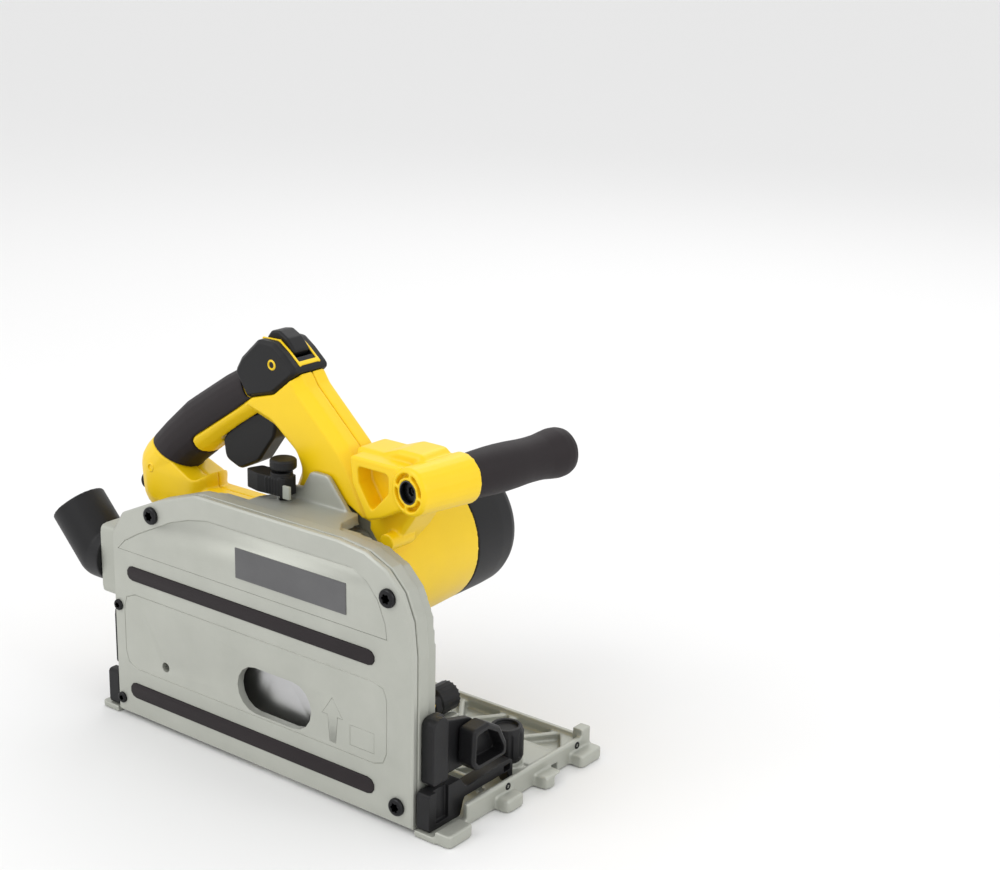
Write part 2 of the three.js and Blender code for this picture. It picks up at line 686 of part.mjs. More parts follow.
// The case's outside: a body round the three wheels, a shoulder out to the upper link, and a nose.
function gearCaseBody() {
  const lock = SPINDLE_LOCK;
  const pinA = farEnd(LINK_A);
  const wheels = [[ARBOR.x, ARBOR.z, GEAR_R + CASE_WALL], [IDLER.x, IDLER.z, 18], [MOTOR.x, MOTOR.z, 24]];
  const shoulder = [[MOTOR.x, MOTOR.z, 24], [pinA.x, pinA.z, 9], [lock.x, lock.z, lock.r + CASE_WALL]];
  const nose = alongY(rod(NOSE_RADIUS, 7, CASE_Y0 + 1, 24), ARBOR.x, ARBOR.z);
  return join(hullXZ(wheels, CASE_Y0, CASE_Y1), hullXZ(shoulder, CASE_Y0 + 3, CASE_Y1), nose);
}

function gearRoom() {
  const y0 = GEAR_Y0 - 1.5;
  const y1 = CASE_Y1 + 1;
  return join(
    alongY(rod(GEAR_R + 1.2, y0, y1, 24), ARBOR.x, ARBOR.z),
    alongY(rod(IDLER_R + 2, y0, y1, 24), IDLER.x, IDLER.z),
    alongY(rod(PINION_R + 2.5, y0, y1, 24), MOTOR.x, MOTOR.z),
  );
}

function gearCase() {
  const ends = [farEnd(LINK_A), farEnd(LINK_B)];
  const boss = rod(LINK_PIN + 4, LINK_Y1 + GAP, CASE_Y0 + 4, 20);
  const pin = rod(LINK_PIN, LINK_Y0 - 0.6, CASE_Y0 + 1, 20);
  const bosses = ends.map(({ x, z }) => alongY(join(boss, pin), x, z));
  const arborBore = alongY(rod(ARBOR_RADIUS + RUN, 0, 60, 24), ARBOR.x, ARBOR.z);
  const { outer, y1 } = SPINDLE_BEARING;
  const bearingSeat = alongY(rod(outer + GAP, 6, y1 + GAP, 28), ARBOR.x, ARBOR.z);
  const idlerSeat = alongY(rod(IDLER_PIN_RADIUS + GAP, 27, 60, 16), IDLER.x, IDLER.z);
  const lock = SPINDLE_LOCK;
  const lockBore = alongY(rod(lock.r + RUN, 0, lock.y1 + lock.travel + 1, 20), lock.x, lock.z);
  const whole = join(gearCaseBody(), ...bosses);
  return cut(whole, gearRoom(), arborBore, bearingSeat, idlerSeat, lockBore);
}

// The cover plate closes the gear case and carries the arbor's and the armature's front bearings.
function gearCover() {
  const y0 = CASE_Y1 + GAP;
  const plate = join(
    hullXZ([[ARBOR.x, ARBOR.z, GEAR_R + CASE_WALL], [MOTOR.x, MOTOR.z, 24]], y0, COVER_PLATE_Y1),
    alongY(rod(HOUSING_R0 - 1, y0, COVER_PLATE_Y1, 32), MOTOR.x, MOTOR.z),
  );
  const seatRadius = SMALL_BEARING.outer + GAP;
  const arborSeat = alongY(rod(seatRadius, y0 - 1, COVER_PLATE_Y1 - 0.8, 24), ARBOR.x, ARBOR.z);
  const shaftHole = alongY(rod(SHAFT_RADIUS + RUN, y0 - 1, 60, 20), MOTOR.x, MOTOR.z);
  const idlerSeat = alongY(rod(IDLER_PIN_RADIUS + GAP, y0 - 1, COVER_PLATE_Y1 - 1, 16), IDLER.x, IDLER.z);
  return cut(plate, arborSeat, shaftHole, idlerSeat);
}

function gearWheel(teeth, bore, { x, z }, turn) {
  const pitch = (teeth * MODULE_MM) / 2;
  const tip = pitch + 0.35 * MODULE_MM;
  const root = pitch - 0.85 * MODULE_MM;
  const points = [];
  for (let i = 0; i < teeth; i++) {
    const step = (2 * Math.PI) / teeth;
    const a = i * step + turn;
    points.push(new THREE.Vector2(root * Math.cos(a - 0.5 * step), root * Math.sin(a - 0.5 * step)));
    points.push(new THREE.Vector2(tip * Math.cos(a - 0.1 * step), tip * Math.sin(a - 0.1 * step)));
    points.push(new THREE.Vector2(tip * Math.cos(a + 0.1 * step), tip * Math.sin(a + 0.1 * step)));
  }
  const end = GEAR_Y0 + GEAR_WIDTH;
  const wheel = slabY(points, GEAR_Y0, end).translate([x, 0, z]);
  return bore > 0 ? cut(wheel, alongY(rod(bore, GEAR_Y0 - 1, end + 1, 20), x, z)) : wheel;
}

function blade() {
  const points = [];
  for (let i = 0; i < BLADE_TEETH; i++) {
    const step = (2 * Math.PI) / BLADE_TEETH;
    const at = (share, radius) => {
      const a = (i + share) * step;
      points.push(new THREE.Vector2(radius * Math.cos(a), radius * Math.sin(a)));
    };
    at(0, BLADE_RADIUS);
    at(0.02, BLADE_RADIUS - 7);
    at(0.22, BLADE_RADIUS - 9);
    at(0.42, BLADE_RADIUS - 4.5);
    at(0.75, BLADE_RADIUS - 1.6);
  }
  const disc = slabY(points, -BLADE_THICK / 2, BLADE_THICK / 2);
  return cut(disc, alongY(rod(BORE_RADIUS, -5, 5, 24), 0, 0)).translate([ARBOR.x, 0, ARBOR.z]);
}

function innerFlange() {
  const face = BLADE_THICK / 2 + GAP;
  const profile = [
    [ARBOR_RADIUS + GAP, -face + 0.4], [BORE_RADIUS - GAP, -face + 0.4], [BORE_RADIUS - GAP, face],
    [FLANGE_RADIUS, face], [FLANGE_RADIUS, face + 1.8], [10, face + 2.2], [10, face + 5],
    [ARBOR_RADIUS + GAP, face + 5],
    [ARBOR_RADIUS + GAP, -face + 0.4],
  ];
  return alongY(turned(profile, 28), ARBOR.x, ARBOR.z);
}

function outerFlange() {
  const face = -BLADE_THICK / 2 - GAP;
  return alongY(tube(FLANGE_RADIUS, FLANGE_BORE, face - FLANGE_THICK, face, 28), ARBOR.x, ARBOR.z);
}

function bladeBolt() {
  const face = -BLADE_THICK / 2 - FLANGE_THICK - 2 * GAP;
  const head = alongY(rod(8, face - 3.4, face, 6), ARBOR.x, ARBOR.z);
  const shank = alongY(rod(FLANGE_BORE - 0.4, face - 0.5, -0.6, 16), ARBOR.x, ARBOR.z);
  return join(head, shank);
}

function arborShaft() {
  const y0 = -0.2;
  const y1 = COVER_PLATE_Y1 - 1;
  return alongY(rod(ARBOR_RADIUS, y0, y1, 24), ARBOR.x, ARBOR.z);
}

function bearing(outer, inner, y0, y1, { x, z }) {
  return alongY(tube(outer, inner, y0, y1, 20), x, z);
}

function spindleBearing() {
  const { outer, inner, y0, y1 } = SPINDLE_BEARING;
  return bearing(outer, inner, y0, y1, ARBOR);
}

function spindleTailBearing() {
  const { outer, inner } = SMALL_BEARING;
  return bearing(outer, inner, GEAR_Y0 + GEAR_WIDTH + 1.4, COVER_PLATE_Y1 - 1.1, ARBOR);
}

function frontBearing() {
  return bearing(FRONT_BEARING_RADIUS, SHAFT_RADIUS + GAP, HOUSING_Y0 + 0.5, HOUSING_Y0 + 5, MOTOR);
}

function rearBearing() {
  const { radius, y0, y1 } = REAR_BEARING;
  return bearing(radius, SHAFT_RADIUS + GAP, y0, y1, MOTOR);
}

// The riving knife is clamped round the gear case's nose and follows the blade's rear edge.
function rivingKnife() {
  const y0 = 3.6;
  const y1 = 6.2;
  const collar = alongY(rod(13, y0, y1, 24), ARBOR.x, ARBOR.z);
  const { x, z } = ARBOR;
  const reach = outline([[x, z - 12, 0], [-74, 78, 4], [-80, 88, 4], [x, z + 12, 0]]);
  const arm = slabY(reach, y0, y1);
  const foot = block(-80, -68.6, -1, y1, 78, 88);
  const fin = outline([
    [-68.6, 88, 3], [-80, 88, 3], [-79, 40, 30], [-58, 10, 6], [-45, 14, 5], [-62, 50, 30], [-68.6, 78, 0],
  ], 4);
  const knife = slabY(fin, -KNIFE_THICK / 2, KNIFE_THICK / 2);
  const bore = alongY(rod(11.2, 0, 30, 24), ARBOR.x, ARBOR.z);
  return cut(join(collar, arm, foot, knife), bore);
}

// ---- Motor ----------------------------------------------------------------------------------

function motorPiece(profile, steps = 24) {
  return alongY(turned(profile, steps), MOTOR.x, MOTOR.z);
}

function armatureShaft() {
  const pinionRoot = PINION_R - 0.9;
  return motorPiece([
    [0, GEAR_Y0 - 0.8], [pinionRoot, GEAR_Y0 - 0.8], [pinionRoot, CASE_Y1 - 1], [SHAFT_RADIUS, CASE_Y1],
    [SHAFT_RADIUS, SHAFT_END_Y], [0, SHAFT_END_Y],
  ], 20);
}

function pinionedShaft() {
  return join(armatureShaft(), gearWheel(PINION_TEETH, 0, MOTOR, meshTurn(PINION_TEETH)));
}

function coolingFan() {
  const { y0, y1, radius, hub, blades } = FAN;
  const core = tube(hub, SHAFT_RADIUS + GAP, y0, y1, 24);
  const disc = tube(radius, hub - 1, y1 - 2, y1 - 0.5, 32);
  const vanes = [];
  for (let i = 0; i < blades; i++) {
    const vane = block(hub - 1, radius - 1, -0.8, 0.8, y0 + 0.5, y1 - 1.5);
    vanes.push(vane.rotate([0, 0, (i * 360) / blades]));
  }
  return alongY(join(core, disc, ...vanes), MOTOR.x, MOTOR.z);
}

function commutator() {
  const { y0, y1, radius } = COMMUTATOR;
  return alongY(tube(radius, SHAFT_RADIUS + GAP, y0, y1, 24), MOTOR.x, MOTOR.z);
}

function rotorCore() {
  return alongY(tube(ROTOR_RADIUS, SHAFT_RADIUS + GAP, STATOR_Y0, STATOR_Y1, 24), MOTOR.x, MOTOR.z);
}

function housingRadius(y) {
  const share = (y - HOUSING_Y0) / (HOUSING_Y1 - HOUSING_Y0);
  return HOUSING_R0 + (HOUSING_R1 - HOUSING_R0) * share;
}

function stator() {
  const outer = housingRadius(STATOR_Y1) - HOUSING_WALL - GAP;
  return alongY(tube(outer, ROTOR_RADIUS + AIR_GAP, STATOR_Y0, STATOR_Y1, 24), MOTOR.x, MOTOR.z);
}

function brushHolder(side) {
  const { y0, y1, inner, outer } = BRUSH_ARM;
  const body = block(-5, 5, y0, y1, inner, outer);
  return body.rotate([0, side * 90, 0]).translate([MOTOR.x, 0, MOTOR.z]);
}

// ---- Housing, handles and switch ------------------------------------------------------------

// An egg-shaped knuckle of the handle: round in the handle's plane, flatter across it.
function knuckle([x, z, radius], shrink) {
  const egg = new THREE.SphereGeometry(1, 16, 10);
  const half = GRIP_HALF - shrink;
  egg.scale(radius - shrink, half, radius - shrink);
  return solid(egg.translate(x, HANDLE_Y, z));
}

// The grip and the tail of the handle are one rounded limb, drawn from knuckle to knuckle.
function gripLimb(shrink = 0) {
  const knuckles = GRIP_KNUCKLES.map((spot) => knuckle(spot, shrink));
  const spans = knuckles.slice(1).map((end, i) => wasm.Manifold.hull([knuckles[i], end]));
  return join(...spans);
}

function handleTail() {
  return wasm.Manifold.hull(TAIL_KNUCKLES.map((spot) => knuckle(spot, 0)));
}

// The tower in front of the hand, and the bridge under the fingers back to the tail.
function towerOutline() {
  return outline([
    [-145, 134, 12],
    [-20, 134, 8],
    [25, 150, 8],
    [56, 150, 8],
    [62, 176, 20],
    [46, 208, 10],
    [38, 219, 9],
    [2, 252, 9],
    [-6, 264, 9],
    [-40, 268, 9],
    [-62, 250, 9],
    [-52, 228, 9],
    [-28, 221, 12],
    [-8, 206, 9],
    [-3, 196, 9],
    [-14, 170, 9],
    [-40, 160, 10],
    [-95, 160, 10],
    [-145, 160, 9],
  ], 4);
}

function handleShell() {
  const { x, z } = MOTOR;
  const tower = slabY(towerOutline(), HANDLE_Y - HANDLE_HALF, HANDLE_Y + HANDLE_HALF, TOWER_BEVEL);
  const motorRoom = alongY(rod(HOUSING_R0 + GAP + 0.6, 0, 200, 32), x, z);
  const caseRoom = block(-40, 90, 0, COVER_PLATE_Y1 + GAP, 60, 172);
  const sleeveRoom = cut(rubberBand(GAP), gripLimb(RUBBER_THICK + GAP));
  const whole = join(gripLimb(), handleTail(), tower);
  const rooms = [noseRoom(), sleeveRoom, glandRoom(), switchRoom(), triggerRoom()];
  return cut(whole, motorRoom, caseRoom, ...rooms);
}

// Where rubber covers the handle: all round its heel, and round the back of the grip up to the nose cap.
function rubberBand(extra = 0) {
  const region = outline([
    [-162, 190, 4],
    [-104, 166, 6],
    [-84, 180, 6],
    [-92, 186, 4],
    [-103, 186, 6],
    [-105, 197, 6],
    [-60, 227, 10],
    [-43, 239, 4],
    [-52, 272, 6],
    [-110, 246, 30],
    [-162, 210, 10],
  ], 4);
  return slabY(grown(region, extra), HANDLE_Y - 30, HANDLE_Y + 30);
}

function gripOvermould() {
  return cut(gripLimb().intersect(rubberBand()), gripLimb(RUBBER_THICK), noseRoom(), towerCore());
}

// The part of the tower that stands where the rubber would be, under the nose cap.
function towerCore() {
  return block(-46, 0, HANDLE_Y - 40, HANDLE_Y + 40, 200, 300);
}

function noseOutline() {
  return outline([
    [-49, 237, 4],
    [-24, 244, 4],
    [-2, 262, 4],
    [-15, 273, 4],
    [-24, 279, 5],
    [-38, 279, 6],
    [-54, 264, 6],
    [-60, 254, 4],
  ], 3);
}

function noseRoom() {
  return slabY(grown(noseOutline(), GAP), HANDLE_Y - 40, HANDLE_Y + 40);
}

function noseCap() {
  const body = slabY(noseOutline(), HANDLE_Y - NOSE_HALF, HANDLE_Y + NOSE_HALF, 2.5);
  const well = outline([[-38.8, 268, 1], [-13.5, 265, 1], [-10.8, 270, 1], [-8, 296, 0], [-38.8, 296, 0]], 2);
  const half = BUTTON_HALF + GAP;
  return cut(body, slabY(well, HANDLE_Y - half, HANDLE_Y + half));
}

function lockOffButton() {
  const shape = outline([
    [-36, 272, 2], [-15, 269, 2], [-12, 273, 2], [-19, 281, 4], [-27, 285, 3], [-34, 284, 3], [-38, 279, 2],
  ], 3);
  return slabY(shape, HANDLE_Y - BUTTON_HALF, HANDLE_Y + BUTTON_HALF, 1.2);
}

function switchOutline() {
  return outline([[-96, 206, 2], [-60, 230, 2], [-50, 240, 2], [-62, 246, 2], [-101, 217, 2]], 2);
}

function switchRoom() {
  const half = SWITCH_HALF + 1;
  return slabY(grown(switchOutline(), 1), HANDLE_Y - half, HANDLE_Y + half);
}

function switchModule() {
  return slabY(switchOutline(), HANDLE_Y - SWITCH_HALF, HANDLE_Y + SWITCH_HALF);
}

function triggerOutline() {
  return outline([
    [-82, 199, 5],
    [-80, 186, 7],
    [-66, 181, 8],
    [-48, 190, 10],
    [-33, 210, 8],
    [-30, 224, 4],
    [-36, 230, 2],
    [-56, 222, 2],
    [-76, 208, 3],
  ], 4);
}

function triggerRoom() {
  const half = TRIGGER_HALF + RUN;
  const still = slabY(grown(triggerOutline(), TRIGGER_ROOM), HANDLE_Y - half, HANDLE_Y + half);
  const swung = (share) => still
    .translate([-TRIGGER_PIN.x, 0, -TRIGGER_PIN.z])
    .rotate([0, -TRIGGER_SWING * share, 0])
    .translate([TRIGGER_PIN.x, 0, TRIGGER_PIN.z]);
  return join(still, swung(0.5), swung(1));
}

function trigger() {
  return slabY(triggerOutline(), HANDLE_Y - TRIGGER_HALF, HANDLE_Y + TRIGGER_HALF, 1.5);
}

function bossAxis(piece) {
  const lean = (Math.atan(BOSS_LEAN) * 180) / Math.PI;
  return piece.rotate([-90, 0, 0]).rotate([0, 0, -lean]).translate([BOSS.x, BOSS.y, BOSS.z]);
}

// The arm reaches from the housing over the gear case to the front handle's boss.
function housingArm() {
  const beam = outline([
    [48, 223, 4], [70, 223, 4], [84, 228, 4], [102, 228, 6], [118, 214, 4], [114, 198, 6], [102, 192, 6],
    [88, 172, 16], [74, 156, 0], [60, 160, 0], [50, 178, 4],
  ], 4);
  const plate = outline([
    [53, 221, 3], [96, 221, 4], [112, 200, 6], [96, 193, 5], [80, 184, 3], [68, 180, 3], [55, 203, 3],
  ], 4);
  return join(slabY(beam, 36, 65, 2.5), slabY(plate, 25, 40, 1.2));
}

function armPocket() {
  const pocket = outline([[60, 215, 3], [86, 214.5, 3], [86, 202, 2], [72, 187, 3], [61, 204, 3]], 3);
  return slabY(pocket, 20, 38);
}

// The hollow boss that the front handle is bolted to, with four slots round its bolt.
function frontBoss() {
  const profile = [[0, 0], [BOSS.r - 2, 0], [BOSS.r, 2], [BOSS.r + 1, BOSS_LENGTH], [0, BOSS_LENGTH]];
  return bossAxis(turned(profile));
}

function bossSlots() {
  const ring = tube(12.4, 9.6, -1, 5, 24);
  const bars = join(block(-1, 1, -20, 20, -2, 6), block(-20, 20, -1, 1, -2, 6));
  return bossAxis(cut(ring, bars.rotate([0, 0, 10])));
}

function caseScrewTube() {
  return alongY(rod(5.6, 28, 50, 16), CASE_TUBE.x, CASE_TUBE.z);
}

function motorHousing() {
  const shell = alongY(turned([
    [HOUSING_R0 - HOUSING_WALL, HOUSING_Y0], [HOUSING_R0, HOUSING_Y0], [HOUSING_R1, HOUSING_Y1],
    [HOUSING_R1 - HOUSING_WALL, HOUSING_Y1], [HOUSING_R0 - HOUSING_WALL, HOUSING_Y0],
  ], 40), MOTOR.x, MOTOR.z);
  const socket = bossAxis(rod(7.8, -1, 8, 24));
  const boltHole = bossAxis(rod(4 + GAP, -1, BOSS_LENGTH + 1, 16));
  const motorRoom = alongY(rod(HOUSING_R1 - HOUSING_WALL, 30, 200, 40), MOTOR.x, MOTOR.z);
  const extras = cut(join(housingArm(), caseScrewTube()), handleKeepOut(), driveKeepOut());
  const outside = join(shell, extras, frontBoss());
  return cut(outside, armPocket(), socket, bossSlots(), boltHole, motorRoom);
}

function handleKeepOut() {
  const half = HANDLE_HALF + GAP;
  return slabY(grown(towerOutline(), GAP), HANDLE_Y - half, HANDLE_Y + half);
}

// Room for the gear case and its cover, which the housing's arm reaches over.
function driveKeepOut() {
  const rim = alongY(rod(HOUSING_R0 + GAP, 0, HOUSING_Y0, 32), MOTOR.x, MOTOR.z);
  return join(rim, block(-40, SPINDLE_LOCK.x + 9, 0, HOUSING_Y0, 60, 168));
}

function endCap() {
  const wall = 3;
  const y0 = HOUSING_Y1 + GAP;
  const shell = alongY(turned([
    [HOUSING_R1 - wall, y0], [HOUSING_R1, y0], [HOUSING_R1 - 1, CAP_END_Y - 8], [HOUSING_R1 - 8, CAP_END_Y],
    [0, CAP_END_Y], [0, CAP_END_Y - wall], [12, CAP_END_Y - wall], [12, CAP_END_Y - 20], [16, CAP_END_Y - 20],
    [16, CAP_END_Y - wall], [HOUSING_R1 - 9, CAP_END_Y - wall], [HOUSING_R1 - 1 - wall, CAP_END_Y - 9],
    [HOUSING_R1 - wall, y0],
  ], 32), MOTOR.x, MOTOR.z);
  const { count, first, step } = CAP_VENTS;
  const vents = [];
  for (let i = 0; i < count; i++) {
    const bar = block(HOUSING_R1 - 12, HOUSING_R1 + 4, -3, 3, CAP_END_Y - 30, CAP_END_Y - 14);
    vents.push(alongY(bar.rotate([0, 0, first + i * step]), MOTOR.x, MOTOR.z));
  }
  return cut(shell, ...vents);
}

function frontHandle() {
  const h0 = BOSS_LENGTH + GAP;
  const profile = [
    [0, h0], [14.5, h0], [15.5, h0 + 12], [16, h0 + 30], [15, h0 + 52], [15.2, h0 + 66], [17, h0 + 78],
    [16.5, h0 + 84], [12.5, h0 + GRIP_LENGTH], [0, h0 + GRIP_LENGTH],
  ];
  const body = turned(profile, 24);
  const bore = rod(4 + GAP, 0, h0 + 34, 16);
  return bossAxis(cut(body, bore));
}

function frontHandleBolt() {
  const head = rod(6.8, 3.4, 7.6, 20);
  const key = rod(3, 0, 6, 6);
  const shank = rod(4, 7.2, BOSS_LENGTH + 30, 16);
  return bossAxis(join(cut(head, key), shank));
}

function alongGland(piece) {
  return piece.rotate([0, -90, 0]).translate([GLAND.x, HANDLE_Y, GLAND.z]);
}

function glandRoom() {
  return alongGland(rod(GLAND.radius + GAP, -GAP, 40, 20));
}

function cordGland() {
  const { radius, bore, length } = GLAND;
  const profile = [
    [0, 0], [radius, 0], [radius, length - 2], [radius - 1.5, length], [bore, length], [bore, 3], [0, 3],
  ];
  return alongGland(turned(profile, 20));
}

function spindleLock() {
  const { x, z, r, y0, y1 } = SPINDLE_LOCK;
  return alongY(turned([[0, y0], [r - 1, y0], [r, y0 + 1], [r, y1], [0, y1]], 20), x, z);
}

function speedDial() {
  const { x, y, z, r } = SPEED_DIAL;
  return alongY(turned([[0, y + GAP], [r, y + GAP], [r - 0.6, y + 3], [0, y + 3]], 20), x, z);
}

// ---- Assembly -------------------------------------------------------------------------------

place("base_plate", basePlate(), ...CAST);
place("bevel_bracket_front", bevelBracket(), ...BLACK);
place("bevel_bracket_rear", rearOf(bevelBracket()), ...BLACK);
place("rail_adjuster_front", adjusterKnob().translate([ADJUSTER.x, ADJUSTER.y, 0]), ...BLACK);
place("rail_adjuster_rear", adjusterKnob().translate([-ADJUSTER.x, ADJUSTER.y, 0]), ...BLACK);
place("kickback_knob", kickbackKnob(), ...BLACK);

place("guard_cover", guardCover(), ...CAST);
place("guard_body", guardBody(), ...CAST);
for (const strip of STRIPS) {
  const bar = stripShape(strip, COVER_OUTER_Y - STRIP_PROUD, COVER_OUTER_Y + STRIP_SINK - GAP);
  place(strip.name, bar, ...RUBBER);
}
place("bevel_quadrant_front", bevelQuadrant(), ...BLACK);
place("bevel_quadrant_rear", rearOf(bevelQuadrant()), ...BLACK);
place("bevel_knob_front", bevelKnob(), ...BLACK);
place("bevel_knob_rear", rearOf(bevelKnob()), ...BLACK);
place("dust_box", dustBox(), ...CAST);
place("dust_spout", dustSpout(), ...BLACK);
place("depth_slider", depthSlider(), ...BLACK);
place("depth_knob", depthKnob(), ...BLACK);

place("upper_link", plungeLink(LINK_A, RUN), ...STEEL);
place("lower_link", plungeLink(LINK_B, OPEN_PIVOT_ROOM), ...STEEL);
place("return_spring", returnSpring(), ...STEEL);

place("gear_case", gearCase(), ...CAST_DARK);
place("gear_cover", gearCover(), ...CAST_DARK);
place("spindle_bearing_outer", spindleBearing(), ...STEEL);
place("spindle_bearing_inner", spindleTailBearing(), ...STEEL);
place("motor_housing", motorHousing(), ...YELLOW);
const shellBoth = handleShell();
const seam = GAP / 2;
place("handle_left", cut(shellBoth, block(-400, 400, HANDLE_Y - seam, 400, -100, 500)), ...YELLOW);
place("handle_right", cut(shellBoth, block(-400, 400, -400, HANDLE_Y + seam, -100, 500)), ...YELLOW);
place("grip_overmould", gripOvermould(), ...RUBBER);
place("nose_cap", noseCap(), ...BLACK);
place("end_cap", endCap(), ...BLACK);
place("front_handle", frontHandle(), ...RUBBER);
place("front_handle_bolt", frontHandleBolt(), ...STEEL);
place("stator", stator(), ...COPPER);
place("brush_holder_upper", brushHolder(1), ...BLACK);
place("brush_holder_lower", brushHolder(-1), ...BLACK);
place("switch_module", switchModule(), ...BLACK);
place("riving_knife", rivingKnife(), ...STEEL);
place("cord_gland", cordGland(), ...RUBBER);
place("spindle_lock", spindleLock(), ...BLACK);
place("lock_off_button", lockOffButton(), ...BLACK);
place("trigger", trigger(), ...BLACK);
place("speed_dial", speedDial(), ...BLACK);

place("arbor", arborShaft(), ...STEEL);
place("blade", blade(), ...STEEL);
place("inner_flange", innerFlange(), ...STEEL);
place("outer_flange", outerFlange(), ...STEEL);
place("blade_bolt", bladeBolt(), ...STEEL);
place("driven_gear", gearWheel(GEAR_TEETH, ARBOR_RADIUS + GAP, ARBOR, DRIVE_LINE), ...STEEL);
place("idler_gear", gearWheel(IDLER_TEETH, IDLER_PIN_RADIUS + 0.4, IDLER, meshTurn(IDLER_TEETH)), ...STEEL);
place("idler_pin", alongY(rod(IDLER_PIN_RADIUS, 27.3, COVER_PLATE_Y1 - 1.3, 16), IDLER.x, IDLER.z), ...STEEL);
place("armature_shaft", pinionedShaft(), ...STEEL);
place("rotor_core", rotorCore(), ...COPPER);
place("cooling_fan", coolingFan(), ...BLACK);
place("commutator", commutator(), ...COPPER);
place("armature_bearing_front", frontBearing(), ...STEEL);
place("armature_bearing_rear", rearBearing(), ...STEEL);

saw.position.y = -ORIGIN_Y;

export default saw;
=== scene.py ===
import bpy
import json
from math import radians, sin, cos, pi, atan2
from mathutils import Matrix, Vector


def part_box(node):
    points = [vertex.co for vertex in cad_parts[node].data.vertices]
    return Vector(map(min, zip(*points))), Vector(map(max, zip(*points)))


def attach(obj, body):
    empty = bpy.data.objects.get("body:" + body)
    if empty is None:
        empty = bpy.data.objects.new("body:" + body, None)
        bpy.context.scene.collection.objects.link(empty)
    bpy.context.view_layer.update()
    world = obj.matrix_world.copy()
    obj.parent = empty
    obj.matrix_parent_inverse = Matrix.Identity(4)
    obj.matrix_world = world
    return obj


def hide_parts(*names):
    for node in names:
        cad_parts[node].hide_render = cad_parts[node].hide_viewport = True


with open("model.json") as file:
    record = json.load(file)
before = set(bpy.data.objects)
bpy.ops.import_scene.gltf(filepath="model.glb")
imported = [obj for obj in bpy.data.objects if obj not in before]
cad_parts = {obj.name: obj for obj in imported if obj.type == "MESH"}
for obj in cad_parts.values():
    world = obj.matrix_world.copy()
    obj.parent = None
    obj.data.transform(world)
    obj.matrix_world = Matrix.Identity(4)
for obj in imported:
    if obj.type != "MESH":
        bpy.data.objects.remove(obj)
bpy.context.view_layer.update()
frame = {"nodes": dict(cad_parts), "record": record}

# ---- Camera -----------------------------------------------------------------
# It stands ahead of the saw on the blade's side, a little above, as a person
# who looks down at a saw on a bench.

CAMERA_PLACE = (0.8076, -0.8688, 0.5761)
CAMERA_TURN = radians(37.58)
CAMERA_DIP = radians(16.98)
CAMERA_ROLL = radians(1.18)
CAMERA_LENS = 66.36
CAMERA_SENSOR = 36

bpy.ops.object.camera_add()
camera = bpy.context.object
camera.data.lens = CAMERA_LENS
camera.data.sensor_width = CAMERA_SENSOR
camera.data.clip_start = 0.05
forward = cos(CAMERA_DIP)
ahead = Vector((-sin(CAMERA_TURN) * forward, cos(CAMERA_TURN) * forward, -sin(CAMERA_DIP)))
level = Vector((cos(CAMERA_TURN), sin(CAMERA_TURN), 0))
upright = level.cross(ahead)
rolled = level * cos(CAMERA_ROLL) + upright * sin(CAMERA_ROLL)
standing = upright * cos(CAMERA_ROLL) - level * sin(CAMERA_ROLL)
camera_axes = Matrix((rolled, standing, -ahead)).transposed().to_4x4()
camera.matrix_world = Matrix.Translation(CAMERA_PLACE) @ camera_axes
bpy.context.scene.camera = camera

# ---- Floor and lights -------------------------------------------------------
# A pale plain floor, one broad soft light over the front left, a weaker one
# from the right and another behind for the rims, in an even white room.

FLOOR_SIZE = 40
FLOOR_DROP = 0.0006
FLOOR_SHADE = 0.86
FLOOR_ROUGHNESS = 0.75
ROOM_LIGHT = 0.92

bpy.ops.object.select_all(action="DESELECT")
bpy.ops.mesh.primitive_plane_add(size=FLOOR_SIZE, location=(0, 0, -FLOOR_DROP))
floor = bpy.context.object
floor.name = "floor"
floor_paint = bpy.data.materials.new("pale floor")
floor_paint.use_nodes = True
floor_shader = floor_paint.node_tree.nodes["Principled BSDF"]
floor_shader.inputs["Base Color"].default_value = (FLOOR_SHADE, FLOOR_SHADE, FLOOR_SHADE, 1)
floor_shader.inputs["Roughness"].default_value = FLOOR_ROUGHNESS
floor.data.materials.append(floor_paint)


def soft_light(name, place, aim, size, watts):
    """A square area light at place, turned to face aim."""
    bpy.ops.object.light_add(type="AREA", location=place)
    light = bpy.context.object
    light.name = name
    light.data.size = size
    light.data.energy = watts
    light.rotation_mode = "QUATERNION"
    light.rotation_quaternion = (Vector(aim) - Vector(place)).to_track_quat("-Z", "Y")


soft_light("key light", (-0.75, -1.5, 1.7), (0, 0, 0.1), 1.3, 13)
soft_light("side light", (1.7, 0.1, 1.1), (0, 0, 0.1), 1.1, 6)
soft_light("rim light", (-0.5, 1.5, 1.5), (0, 0, 0.15), 1.2, 6)

room = bpy.data.worlds.new("room")
bpy.context.scene.world = room
room.use_nodes = True
backdrop = room.node_tree.nodes["Background"]
backdrop.inputs["Color"].default_value = (1, 1, 1, 1)
backdrop.inputs["Strength"].default_value = ROOM_LIGHT
bpy.context.scene.view_settings.view_transform = "Standard"

# ---- Finishes ---------------------------------------------------------------
# Each finish is a Principled shader fed by shared surface effects: a grain, a
# slow mottling, pale edges rubbed by handling and painted shade that darkens the
# inside corners. The edges and the corners are found by the mesh's pointiness,
# which is 0.5 where it is flat.

EDGE_RANGE = (0.53, 0.62)
# Painted shade in inside corners: its mask rises as the pointiness falls through this range, up to this
# strength, towards the dark colour times this share.
CORNER_SHADE_RANGE = (0.485, 0.40)
PAINTED_CORNER_SHADE = 0.55
PAINTED_SHADE_TONE = 0.25
MOTTLE_SIZE = 0.03


